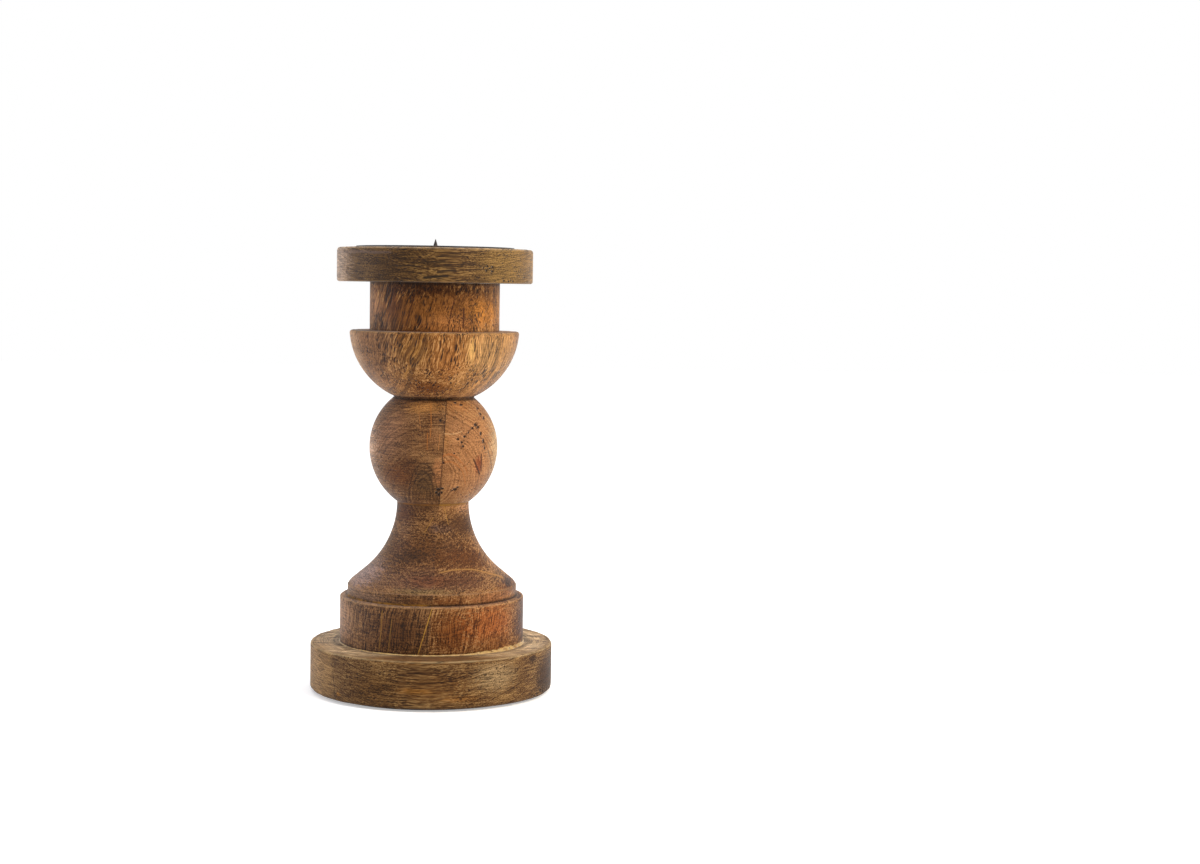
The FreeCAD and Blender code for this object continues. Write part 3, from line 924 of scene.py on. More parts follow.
    def lay_patches(self, ground: Ground, colour: Socket, tone: Socket) -> Socket:
        """Lays the patches over the wood's own colour, which keeps its light and dark.

        Args:
            ground: what the patterns share.
            colour: the colour so far.
            tone: the wood's light and dark.

        Returns:
            The colour with the patches.
        """
        bench = ground.bench
        lively = bench.add("MapRange", {"Value": tone, "From Min": 0.1, "From Max": 0.9,
                                        "To Min": self.patch_dark, "To Max": self.patch_light})
        edge = bench.add_up(0.0, ((ground.band, self.edge_band), (ground.fine, self.edge_fibre)))
        for patch in self.patches:
            away = bench.away(ground.place, patch.at, inverse(patch.reach))
            away = bench.add("Math", {0: away, 1: edge}, operation="ADD")
            mask = bench.add("MapRange", {"Value": away, "From Min": 1 - patch.soft, "From Max": 1.0,
                                          "To Min": patch.strength, "To Max": 0.0},
                             interpolation_type="SMOOTHSTEP")
            own = bench.add("VectorMath", {0: linear(patch.colour)[:3], "Scale": lively}, operation="SCALE")
            colour = bench.add("Mix", {"Factor": mask, "A": colour, "B": own}, data_type="RGBA")
        return colour

    def lay_layers(self, ground: Ground, colour: Socket) -> Socket:
        """Lays the dark growth zones, rings, glue lines and cracks over the colour.

        Args:
            ground: what the patterns share.
            colour: the colour so far.

        Returns:
            The colour with the layers.
        """
        bench = ground.bench
        for layer in self.layers:
            source = bench.add("Mix", {"Factor": layer.wander, "A": ground.place, "B": ground.swayed},
                               data_type="VECTOR")
            if layer.bend:
                off = bench.away(source, layer.at, layer.across)
                off = bench.add("Math", {0: off, 1: layer.bend}, operation="SUBTRACT")
            else:
                axis = Vector(layer.across).normalized()
                off = bench.add("VectorMath", {0: source, 1: layer.at}, operation="SUBTRACT")
                off = bench.add("VectorMath", {0: off, 1: axis}, operation="DOT_PRODUCT")
                off = off.node.outputs["Value"]
            off = bench.add("Math", {0: off}, operation="ABSOLUTE")
            mask = bench.add("MapRange", {"Value": off, "From Min": layer.half * 0.4, "From Max": layer.half,
                                          "To Min": layer.strength, "To Max": 0.0},
                             interpolation_type="SMOOTHSTEP")
            mask = bench.add("Math", {0: mask, 1: self.room(ground, layer)}, operation="MULTIPLY")
            colour = bench.add("Mix", {"Factor": mask, "A": colour, "B": linear(layer.colour)},
                               data_type="RGBA")
        return colour

    def room(self, ground: Ground, layer: Layer) -> Socket:
        """Tells the box that a layer shows in from the rest, with a short fade at its walls.

        Args:
            ground: what the patterns share.
            layer: the layer.

        Returns:
            One inside the box and zero outside.
        """
        bench = ground.bench
        middle = tuple((low + high) / 2 for low, high in zip(layer.low, layer.high))
        scale = tuple(2 / (high - low) for low, high in zip(layer.low, layer.high))
        inside = bench.add("VectorMath", {0: ground.place, 1: middle}, operation="SUBTRACT")
        inside = bench.add("VectorMath", {0: inside, 1: scale}, operation="MULTIPLY")
        inside = bench.add("VectorMath", {0: inside}, operation="ABSOLUTE")
        sides = bench.add("SeparateXYZ", {"Vector": inside}).node.outputs
        far = bench.add("Math", {0: sides[0], 1: sides[1]}, operation="MAXIMUM")
        far = bench.add("Math", {0: far, 1: sides[2]}, operation="MAXIMUM")
        return bench.add("MapRange", {"Value": far, "From Min": 0.9, "From Max": 1.0,
                                      "To Min": 1.0, "To Max": 0.0})

    def lay_rims(self, ground: Ground, colour: Socket) -> Socket:
        """Lays the rims over the colour: pale arrises, partly worn and partly a painted highlight, old glue,
        and dark rings of painted shade with some grime.

        Args:
            ground: what the patterns share.
            colour: the colour so far.

        Returns:
            The colour with the rims.
        """
        bench = ground.bench
        patchy = bench.add("TexNoise", {"Vector": ground.place, "Scale": 0.22, "Detail": 3.0,
                                        "Roughness": 0.65})
        for rim in self.rims:
            off = bench.add("Math", {0: ground.radius, 1: rim.radius}, operation="SUBTRACT")
            rise = bench.add("Math", {0: ground.level, 1: rim.height}, operation="SUBTRACT")
            both = bench.add("CombineXYZ", {0: off, 1: rise})
            away = bench.add("VectorMath", {0: both}, operation="LENGTH").node.outputs["Value"]
            mask = bench.add("MapRange", {"Value": away, "From Min": rim.half * 0.25, "From Max": rim.half,
                                          "To Min": rim.strength, "To Max": 0.0},
                             interpolation_type="SMOOTHSTEP")
            keep = bench.add("MapRange", {"Value": patchy, "From Min": 0.38, "From Max": 0.58,
                                          "To Min": 1 - rim.broken, "To Max": 1.0})
            mask = bench.add("Math", {0: mask, 1: keep}, operation="MULTIPLY")
            colour = bench.add("Mix", {"Factor": mask, "A": colour, "B": linear(rim.colour)},
                               data_type="RGBA")
        return colour

    def pits(self, ground: Ground) -> Socket | float:
        """Bores the pinholes and checks, whose near black colour is painted shade inside them.

        Args:
            ground: what the patterns share.

        Returns:
            How deep each place lies in a hole, from 0 to 1.
        """
        bench = ground.bench
        total = 0.0
        for hole in self.holes:
            away = bench.away(ground.place, hole.at, inverse(hole.size))
            mask = bench.add("MapRange", {"Value": away, "From Min": 0.65, "From Max": 1.2,
                                          "To Min": 0.9, "To Max": 0.0}, interpolation_type="SMOOTHSTEP")
            total = bench.add("Math", {0: total, 1: mask}, operation="MAXIMUM")
        return total


@dataclass(frozen=True)
class Felt:
    """Needled wool felt, black: matt, with short fibres that stand up a little and lie all ways.

    Real fibres are too fine to show in the render, so they are drawn as coarse as they need to show.
    """

    name: str = "needled felt"
    colour: str = "#1C1C1E"
    lint: str = "#3A3A3C"
    fibre_width: float = 0.18
    clump: float = 2.5
    roughness: float = 0.95
    relief: float = 0.2

    def dress(self) -> bpy.types.Material:
        """Builds the material.

        Returns:
            The material.
        """
        bench = Bench(bpy.data.materials.new(self.name))
        place = bench.place()
        fibre = bench.add("TexNoise", {"Vector": place, "Scale": 1 / self.fibre_width, "Detail": 3.0,
                                       "Roughness": 0.7, "Distortion": 2.0})
        clump = bench.add("TexNoise", {"Vector": place, "Scale": 1 / self.clump, "Detail": 3.0})
        mixed = bench.add("Math", {0: fibre, 1: clump}, operation="MULTIPLY")
        colour = bench.add("ValToRGB", {"Fac": mixed}, stops=((0.15, self.colour), (0.45, self.lint)))
        normal = bench.add("Bump", {"Height": fibre, "Distance": self.relief * MM, "Strength": 1.0})
        return bench.close({"Base Color": colour, "Roughness": self.roughness, "Normal": normal,
                            "Sheen Weight": 0.3, "Sheen Roughness": 0.6})


@dataclass(frozen=True)
class Iron:
    """Blackened iron, pressed or forged: a thin oxide coat over metal, rubbed bare in places.

    The oxide is near black with a blue grey cast, and brown rust shows through where it is thin.
    Real grit is too fine to show in the render, so it is drawn as coarse as it needs to show.
    """

    name: str
    coat: str = "#232327"
    rubbed: str = "#4A4E58"
    rust: str = "#35231D"
    scale_size: float = 9.0
    grit: float = 0.5
    roughness: float = 0.42
    metallic: float = 0.75
    relief: float = 0.05

    def dress(self) -> bpy.types.Material:
        """Builds the material.

        Returns:
            The material.
        """
        bench = Bench(bpy.data.materials.new(self.name))
        place = bench.place()
        cloud = bench.add("TexNoise", {"Vector": place, "Scale": 1 / self.scale_size, "Detail": 5.0,
                                       "Roughness": 0.65})
        grain = bench.add("TexNoise", {"Vector": place, "Scale": 1 / self.grit, "Detail": 3.0,
                                       "Roughness": 0.6})
        colour = bench.add("ValToRGB", {"Fac": cloud},
                           stops=((0.3, self.rust), (0.44, self.coat), (0.6, self.coat), (0.8, self.rubbed)))
        dull = bench.add("MapRange", {"Value": grain, "From Min": 0.3, "From Max": 0.7,
                                      "To Min": self.roughness - 0.08, "To Max": self.roughness + 0.14})
        height = bench.add("Math", {0: cloud, 1: 1.5, 2: grain}, operation="MULTIPLY_ADD")
        normal = bench.add("Bump", {"Height": height, "Distance": self.relief * MM, "Strength": 1.0})
        return bench.close({"Base Color": colour, "Roughness": dull, "Normal": normal,
                            "Metallic": self.metallic})


@dataclass(frozen=True)
class Steel:
    """Zinc plated wood screw steel: cold rolled thread, bright, with fine rings from the die.

    Real rings are too fine to show in the render, so they are drawn as coarse as they need to show.
    """

    name: str
    colour: str = "#B9B6AE"
    tarnish: str = "#8F8B80"
    ring: float = 0.12
    stain: float = 2.0
    roughness: float = 0.32
    relief: float = 0.02

    def dress(self) -> bpy.types.Material:
        """Builds the material.

        Returns:
            The material.
        """
        bench = Bench(bpy.data.materials.new(self.name))
        place = bench.place()
        rings = bench.add("VectorMath", {0: place, 1: (0.1, 0.1, 1.0)}, operation="MULTIPLY")
        rings = bench.add("TexNoise", {"Vector": rings, "Scale": 1 / self.ring, "Detail": 2.0})
        cloud = bench.add("TexNoise", {"Vector": place, "Scale": 1 / self.stain, "Detail": 4.0})
        colour = bench.add("ValToRGB", {"Fac": cloud}, stops=((0.35, self.tarnish), (0.6, self.colour)))
        dull = bench.add("MapRange", {"Value": rings, "From Min": 0.3, "From Max": 0.7,
                                      "To Min": self.roughness, "To Max": self.roughness + 0.15})
        normal = bench.add("Bump", {"Height": rings, "Distance": self.relief * MM, "Strength": 1.0})
        return bench.close({"Base Color": colour, "Roughness": dull, "Normal": normal, "Metallic": 1.0})


@dataclass(frozen=True)
class Beech:
    """Fluted beech dowel: pale, close grained, with short brown ray flecks along it."""

    name: str = "beech"
    colour: str = "#C9A67C"
    fleck: str = "#9A6F48"
    fleck_length: float = 2.2
    fleck_width: float = 0.3
    roughness: float = 0.62
    relief: float = 0.05

    def dress(self) -> bpy.types.Material:
        """Builds the material.

        Returns:
            The material.
        """
        bench = Bench(bpy.data.materials.new(self.name))
        place = bench.place()
        size = inverse((self.fleck_width, self.fleck_width, self.fleck_length))
        cells = bench.add("VectorMath", {0: place, 1: size}, operation="MULTIPLY")
        fleck = bench.add("TexNoise", {"Vector": cells, "Scale": 1.0, "Detail": 2.0})
        colour = bench.add("ValToRGB", {"Fac": fleck}, stops=((0.3, self.fleck), (0.45, self.colour)))
        normal = bench.add("Bump", {"Height": fleck, "Distance": self.relief * MM, "Strength": 1.0})
        return bench.close({"Base Color": colour, "Roughness": self.roughness, "Normal": normal})


@dataclass(frozen=True)
class Glue:
    """Old wood glue, squeezed out and dried: amber, glossy, with bubbles and dust in it."""

    name: str = "dried glue"
    pale: str = "#B8975A"
    amber: str = "#8E672E"
    dirt: str = "#3A2410"
    lump: float = 2.4
    bubble: float = 1.5
    roughness: float = 0.35
    relief: float = 0.25
    ior: float = 1.5
    glow: float = 0.15
    glow_reach: Triple = (2.0, 1.0, 0.5)

    def dress(self) -> bpy.types.Material:
        """Builds the material.

        Returns:
            The material.
        """
        bench = Bench(bpy.data.materials.new(self.name))
        place = bench.place()
        lump = bench.add("TexNoise", {"Vector": place, "Scale": 1 / self.lump, "Detail": 3.0})
        colour = bench.add("ValToRGB", {"Fac": lump}, stops=((0.35, self.amber), (0.55, self.pale)))
        near = bench.add("TexVoronoi", {"Vector": place, "Scale": 1 / self.bubble, "Randomness": 1.0})
        pit = bench.add("MapRange", {"Value": near, "From Min": 0.16, "From Max": 0.28,
                                     "To Min": 0.9, "To Max": 0.0})
        colour = bench.add("Mix", {"Factor": pit, "A": colour, "B": linear(self.dirt)}, data_type="RGBA")
        height = bench.add("Math", {0: pit, 1: -1.0, 2: lump}, operation="MULTIPLY_ADD")
        normal = bench.add("Bump", {"Height": height, "Distance": self.relief * MM, "Strength": 1.0})
        return bench.close({"Base Color": colour, "Roughness": self.roughness, "Normal": normal,
                            "IOR": self.ior, "Subsurface Weight": self.glow,
                            "Subsurface Radius": tuple(reach * MM for reach in self.glow_reach)})


TOP_WOOD = Wood(
    name="mango top board", dark="#24160B", middle="#54391B", light="#8C6C3E", fibre=(1.0, 0.10, -0.03),
    heart=(-60.0, 12.0, 0.0), ring_width=0.7, ring_strength=0.55, fibre_width=0.34, fibre_length=12.0,
    fibre_strength=0.95, band_width=0.6, band_length=36.0, band_strength=0.5, sway=2.4, sway_span=24.0,
    tool_mark=0.42, tool_strength=0.9, tool_face=1.0,
    vessel_spacing=0.9, vessel_length=20.0, vessel_share=0.22, vessel_strength=0.9,
    patches=(
        Patch((-22.0, -44.0, 211.0), (30.0, 26.0, 22.0), "#3B2711", 0.75),
        Patch((36.0, -34.0, 211.0), (24.0, 26.0, 24.0), "#695028", 0.8),
        # Painted light: the right end is lightened, as the light from the right would show it.
        Patch((54.0, -6.0, 211.0), (14.0, 34.0, 26.0), "#957136", 0.85),
        # Painted sheen: the left end is lightened and greyed, as the cool light from the left would show it.
        Patch((-56.0, -6.0, 211.0), (21.0, 40.0, 30.0), "#AC917A", 0.95, 0.45),
    ),
    layers=(
        Layer((0.0, -48.0, 205.2), (-0.07, 0.0, 1.0), 0.85, "#120A06", 0.9,
              (-6.0, -60.0, 203.4), (6.5, -30.0, 207.0), wander=0.35),
        Layer((5.0, -48.0, 207.9), (-0.1, 0.0, 1.0), 0.7, "#1A100A", 0.75,
              (0.5, -60.0, 206.5), (10.0, -30.0, 209.5), wander=0.5),
        Layer((-1.0, -48.0, 212.3), (-0.04, 0.0, 1.0), 0.6, "#1E130B", 0.75,
              (-7.0, -60.0, 210.5), (5.0, -30.0, 214.0), wander=0.5),
        Layer((-15.0, -46.0, 210.0), (-0.05, 0.0, 1.0), 0.6, "#20150C", 0.65,
              (-21.0, -60.0, 208.0), (-9.0, -30.0, 212.0), wander=0.7),
        Layer((9.0, -48.0, 215.0), (0.05, 0.0, 1.0), 0.45, "#24170D", 0.6,
              (2.0, -60.0, 213.5), (16.0, -30.0, 216.5), wander=0.6),
        Layer((-45.0, -10.0, 216.6), (0.02, 0.0, 1.0), 0.9, "#6E5A50", 0.5,
              (-60.0, -60.0, 214.5), (-20.0, 20.0, 218.5), wander=0.4),
    ),
    holes=(
        Hole((24.6, -41.4, 210.6), (0.6, 0.9, 0.5)), Hole((27.1, -39.9, 210.2), (0.6, 0.9, 0.52)),
        Hole((24.2, -41.7, 208.4), (0.6, 0.9, 0.52)), Hole((26.9, -40.0, 208.1), (0.6, 0.9, 0.5)),
        Hole((25.7, -40.8, 209.5), (0.42, 0.7, 0.38)), Hole((22.6, -42.5, 209.7), (0.4, 0.7, 0.35)),
        Hole((32.7, -35.4, 203.8), (0.6, 0.8, 0.45)), Hole((35.0, -33.1, 203.6), (0.5, 0.8, 0.4)),
        Hole((37.2, -30.6, 203.6), (0.55, 0.8, 0.5)), Hole((42.9, -22.0, 205.6), (0.5, 0.9, 0.45)),
    ),
    rims=(
        # Pale arrises at the top and under edges: partly worn wood, partly a painted highlight.
        Rim(47.9, 218.9, 0.9, "#A88C66", 0.5), Rim(48.0, 202.7, 0.7, "#8E7048", 0.4),
        # Dark rings: painted shade in the gap round the pan and on the underside round the neck.
        Rim(39.5, 219.2, 0.6, "#1A120C", 0.7), Rim(33.5, 202.4, 3.0, "#1E120A", 0.8, 0.2),
    ),
)

BOWL_WOOD = Wood(
    name="mango upper column", dark="#452406", middle="#8E5C2C", light="#CC9A60", fibre=(0.27, -0.24, 1.0),
    heart=(20.0, 60.0, 0.0), ring_width=4.0, ring_strength=0.3, band_strength=0.7,
    fibre_width=0.34, fibre_strength=1.4, vessel_spacing=1.0, vessel_length=7.0, vessel_share=0.25,
    vessel_strength=0.95,
    patches=(
        Patch((0.0, -30.0, 189.0), (50.0, 44.0, 14.5), "#74461A", 0.85, 0.35),
        # Painted shadow: the neck's upper part is darkened where the top board shades it.
        Patch((-8.0, -30.0, 200.5), (40.0, 36.0, 7.0), "#3B1C07", 0.85, 0.7),
        # Painted sheen: the neck's left end is lightened, as the cool light from the left would show it.
        Patch((-29.0, -12.0, 190.0), (7.0, 24.0, 14.0), "#9C6E4A", 0.75),
        Patch((-20.0, -26.0, 191.0), (7.0, 12.0, 9.0), "#5A3216", 0.6),
        Patch((-2.0, -30.0, 152.0), (18.0, 22.0, 6.0), "#643712", 0.85),
        Patch((24.0, -22.0, 189.0), (15.0, 24.0, 10.0), "#A06828", 0.75),
        # Painted light: the neck's right end is lightened, as the light from the right would show it.
        Patch((34.0, -6.0, 190.0), (9.0, 24.0, 13.0), "#A8743C", 0.7),
        Patch((6.0, -32.0, 182.5), (26.0, 20.0, 6.0), "#A36C3A", 0.75),
        Patch((-33.0, -28.0, 168.0), (20.0, 34.0, 26.0), "#6F4D31", 0.85, 0.4),
        # Painted sheen: the bowl's left end is lightened and greyed, as the cool light from the left would
        # show it.
        Patch((-46.0, 0.0, 170.0), (16.0, 34.0, 26.0), "#B48C66", 0.9, 0.5),
        Patch((-22.0, -22.0, 154.0), (14.0, 18.0, 8.0), "#8E623A", 0.7),
        Patch((34.0, -24.0, 167.0), (26.0, 30.0, 22.0), "#936D40", 0.8),
        Patch((20.0, -22.0, 154.0), (16.0, 20.0, 8.0), "#A0703A", 0.7),
        Patch((6.0, -38.0, 165.0), (12.0, 20.0, 18.0), "#8E5826", 0.6),
        Patch((-10.0, -38.0, 170.0), (11.0, 14.0, 10.0), "#7A5222", 0.6),
        Patch((18.0, -37.0, 170.0), (3.0, 8.0, 9.0), "#C39A58", 0.6),
        Patch((25.0, -32.0, 168.0), (11.0, 14.0, 18.0), "#AA8252", 0.65),
    ),
    layers=(
        Layer((-7.0, -34.0, 168.0), (0.93, 0.0, -0.36), 1.7, "#4A2C12", 0.6,
              (-30.0, -50.0, 146.0), (6.0, 0.0, 179.0)),
        Layer((-13.0, -34.0, 168.0), (0.92, 0.0, -0.38), 1.0, "#53341A", 0.55,
              (-34.0, -50.0, 146.0), (0.0, 0.0, 176.0)),
        Layer((-9.5, -34.0, 168.0), (0.92, 0.0, -0.38), 0.5, "#B4803C", 0.5,
              (-34.0, -50.0, 156.0), (0.0, 0.0, 178.0)),
        Layer((14.2, -28.6, 186.0), (1.0, 0.0, -0.05), 0.55, "#3A1A0C", 0.85,
              (10.0, -40.0, 180.5), (18.0, -10.0, 191.0), wander=0.5),
        Layer((8.0, -30.6, 188.0), (1.0, 0.0, -0.2), 0.45, "#451F0C", 0.7,
              (3.0, -40.0, 182.0), (13.0, -10.0, 195.0), wander=0.6),
        Layer((-12.0, -29.6, 188.0), (1.0, 0.0, -0.22), 0.5, "#3E1E0C", 0.7,
              (-18.0, -40.0, 181.0), (-6.0, -10.0, 196.0), wander=0.7),
    ),
    holes=(
        Hole((-16.8, -27.2, 201.7), (0.5, 0.5, 0.5)), Hole((-8.7, -30.8, 155.2), (0.4, 0.4, 1.7)),
        Hole((-6.9, -30.2, 154.0), (0.35, 0.35, 1.6)), Hole((-4.9, -28.3, 152.2), (0.35, 0.35, 1.3)),
        Hole((-10.4, -30.8, 156.6), (0.35, 0.35, 1.2)), Hole((-3.0, -27.0, 150.8), (0.35, 0.35, 0.9)),
    ),
    rims=(
        # The pale rim arris is partly worn wood and partly a painted highlight; the dark ring at the foot of
        # the neck is painted shade with some grime.
        Rim(41.2, 178.5, 1.0, "#B08A5A", 0.55), Rim(32.3, 179.0, 1.0, "#3A2010", 0.6, 0.3),
        # Dark rings at the neck's top under the top board and at the seat on the ball: painted shade, with
        # some grime at the seat.
        Rim(32.0, 202.2, 1.6, "#241208", 0.8, 0.2), Rim(20.4, 146.2, 1.3, "#2A180C", 0.8, 0.3),
        Rim(32.7, 178.9, 0.8, "#B5651D", 0.5, 0.95),
    ),
)

COLUMN_PATCHES = (
    Patch((0.0, -22.0, 71.0), (48.0, 34.0, 15.0), "#4A2C14", 0.85),
    Patch((2.0, -36.0, 58.5), (48.0, 34.0, 9.0), "#513525", 0.8),
    # Painted sheen: the bell's left side is greyed and lightened, as the cool light from the left would show
    # it.
    Patch((-34.0, -14.0, 60.0), (18.0, 20.0, 11.0), "#7C645C", 0.9),
    Patch((-9.0, -24.0, 69.5), (12.0, 12.0, 5.5), "#35200F", 0.75),
    Patch((14.8, -10.0, 91.5), (5.0, 9.0, 4.0), "#A87C58", 0.85),
    Patch((5.0, -18.0, 82.5), (9.0, 8.0, 3.5), "#54423E", 0.6),
    Patch((0.0, -36.0, 59.0), (18.0, 8.0, 4.0), "#62341A", 0.4),
    Patch((-6.0, -42.0, 54.5), (28.0, 12.0, 1.9), "#75603C", 0.5),
    Patch((40.0, -16.0, 55.0), (12.0, 20.0, 6.0), "#844C28", 0.65),
    Patch((41.0, -15.0, 57.0), (18.0, 22.0, 11.0), "#241A18", 0.9, 0.9),
    Patch((20.0, -32.0, 59.0), (16.0, 14.0, 6.0), "#4E2E1A", 0.7),
)

SEAM = Layer((3.0, -20.0, 94.1), (0.998, 0.0, -0.061), 0.42, "#2E180C", 0.7,
             (-10.0, -60.0, 92.0), (12.0, 60.0, 147.0), wander=0.1)

COLUMN_RIMS = (
    # Dark rings at the lip's crease, the foot's bottom, the throat and the ball's top are painted shade with
    # some grime.
    # Pale arrises on the foot's top edge and the lip's shoulder are partly worn wood and partly a painted
    # highlight.
    Rim(45.4, 47.5, 0.8, "#A5825C", 0.55), Rim(42.0, 47.8, 1.3, "#1E1008", 0.85, 0.2),
    Rim(45.8, 24.6, 1.5, "#2A190C", 0.7, 0.3), Rim(41.6, 53.1, 0.7, "#8A6C4C", 0.45),
    Rim(18.0, 94.1, 1.3, "#26140A", 0.75, 0.3), Rim(20.4, 145.6, 1.3, "#2A180C", 0.8, 0.3),
)

COLUMN_DARK = Wood(
    name="mango lower column left board", dark="#2E1B0C", middle="#694526", light="#9C7349",
    fibre=(0.10, 1.0, 0.03), heart=(-3.0, -98.0, 0.0), ring_width=1.1, ring_strength=0.4,
    band_width=0.9, band_strength=0.3, cloud_width=8.0, cloud_strength=0.35, fibre_strength=1.1,
    tool_mark=0.5, tool_strength=0.85, vessel_strength=0.75, vessel_spacing=1.0, vessel_length=9.0,
    figures=(
        Figure((0.20, 0.0, 1.0), 0.6, 24.0, 1.9, (24.0, 47.5)),
        Figure((0.12, 0.0, 1.0), 0.7, 9.0, 0.7, (47.5, 53.5)),
        Figure((1.0, 0.3, 0.25), 0.45, 5.0, 1.1, (54.0, 92.0)),
    ),
    patches=COLUMN_PATCHES + (
        Patch((-24.0, -24.0, 128.0), (22.0, 26.0, 18.0), "#80593C", 0.75),
        Patch((-11.0, -26.0, 128.0), (10.0, 14.0, 11.0), "#573A22", 0.7),
        Patch((-17.0, -26.0, 109.0), (17.0, 22.0, 10.0), "#573012", 0.85),
        Patch((-4.0, -27.0, 106.0), (7.5, 11.0, 11.0), "#50381F", 0.75, 0.6),
        Patch((-12.5, -27.0, 115.0), (8.0, 12.0, 7.0), "#4A2A12", 0.65),
        Patch((-0.5, -31.0, 127.0), (6.0, 8.0, 9.0), "#785030", 0.6),
        Patch((2.6, -30.0, 110.5), (3.6, 8.0, 9.5), "#97653D", 0.9, 0.45),
        # Painted sheen: the ball's left end is lightened and greyed, as the cool light from the left would
        # show it.
        Patch((-41.0, -9.0, 120.0), (18.0, 26.0, 28.0), "#BC987C", 0.95, 0.6),
        Patch((-5.0, -22.0, 142.0), (14.0, 14.0, 4.0), "#A5743F", 0.75),
        Patch((-14.0, -8.0, 90.0), (12.0, 22.0, 10.0), "#4A2810", 0.85),
        Patch((-16.0, -42.0, 36.0), (30.0, 26.0, 18.0), "#44270F", 0.85),
        # Painted sheen: the foot's left end is lightened, as the cool light from the left would show it.
        Patch((-50.0, -10.0, 36.0), (16.0, 34.0, 20.0), "#906A4B", 0.9, 0.6),
        Patch((-32.0, -28.0, 50.0), (22.0, 24.0, 3.5), "#6A503C", 0.7),
        Patch((-6.0, -42.0, 50.0), (14.0, 10.0, 3.0), "#52300F", 0.7),
    ),
    layers=(
        SEAM,
        Layer((-1.6, -30.0, 136.0), (1.0, 0.0, -0.03), 0.34, "#B06C30", 0.6,
              (-4.0, -40.0, 127.5), (1.0, -10.0, 144.5), wander=0.4),
        Layer((-3.2, -30.0, 126.0), (1.0, 0.0, 0.03), 0.32, "#A9642A", 0.6,
              (-5.0, -40.0, 122.0), (-1.0, -10.0, 130.5), wander=0.4),
        Layer((-7.2, -28.0, 138.0), (1.0, 0.0, 0.05), 0.32, "#A9703C", 0.5,
              (-10.0, -40.0, 131.5), (-4.0, -10.0, 144.5), wander=0.5),
        Layer((2.7, -30.0, 125.5), (1.0, 0.0, -0.08), 0.3, "#B87A42", 0.5,
              (1.0, -40.0, 121.5), (5.0, -10.0, 130.0), wander=0.2),
        Layer((-4.8, 0.0, 98.0), (2.7, 0.0, 1.0), 0.9, "#2A190C", 0.4,
              (-9.0, -40.0, 96.0), (3.4, -15.0, 106.0), 5.6, 0.3),
        Layer((-4.8, 0.0, 98.0), (2.7, 0.0, 1.0), 0.9, "#2A190C", 0.45,
              (-11.0, -40.0, 96.0), (3.4, -15.0, 110.0), 9.6, 0.3),
        Layer((-4.8, 0.0, 98.0), (2.7, 0.0, 1.0), 1.0, "#24150A", 0.55,
              (-13.0, -40.0, 96.0), (3.4, -15.0, 114.0), 13.6, 0.3),
        Layer((-4.8, 0.0, 98.0), (2.6, 0.0, 1.0), 0.9, "#2A180A", 0.55,
              (-15.0, -40.0, 96.0), (3.4, -15.0, 118.0), 17.6, 0.3),
        Layer((-24.2, -38.6, 36.0), (1.0, 0.0, -0.06), 0.35, "#A27634", 0.55,
              (-27.0, -50.0, 26.0), (-21.0, -20.0, 46.0), wander=0.2),
        Layer((-19.8, -41.0, 33.0), (1.0, 0.0, -0.1), 0.3, "#A27634", 0.5,
              (-23.0, -50.0, 25.0), (-16.0, -20.0, 42.0), wander=0.2),
        Layer((-3.2, -45.6, 36.0), (0.957, 0.0, -0.29), 0.34, "#B88838", 0.8,
              (-9.0, -50.0, 24.0), (2.0, -40.0, 48.0), wander=0.1),
        Layer((-2.0, -16.0, 84.0), (0.86, 0.0, -0.5), 0.28, "#A87C3C", 0.5,
              (-8.0, -30.0, 80.0), (3.0, -2.0, 88.0), wander=0.2),
    ),
    rims=COLUMN_RIMS + (Rim(42.0, 48.0, 0.9, "#A87830", 0.8, 0.97),
                        Rim(18.2, 93.9, 0.9, "#96622A", 0.75, 0.5)),
    holes=(
        Hole((3.2, -27.8, 136.1), (0.7, 1.6, 0.7)), Hole((2.6, -25.6, 102.4), (1.1, 1.6, 0.9)),
        Hole((2.9, -23.7, 99.8), (0.7, 1.5, 1.1)), Hole((1.6, -24.6, 100.8), (0.6, 1.5, 0.7)),
    ),
)

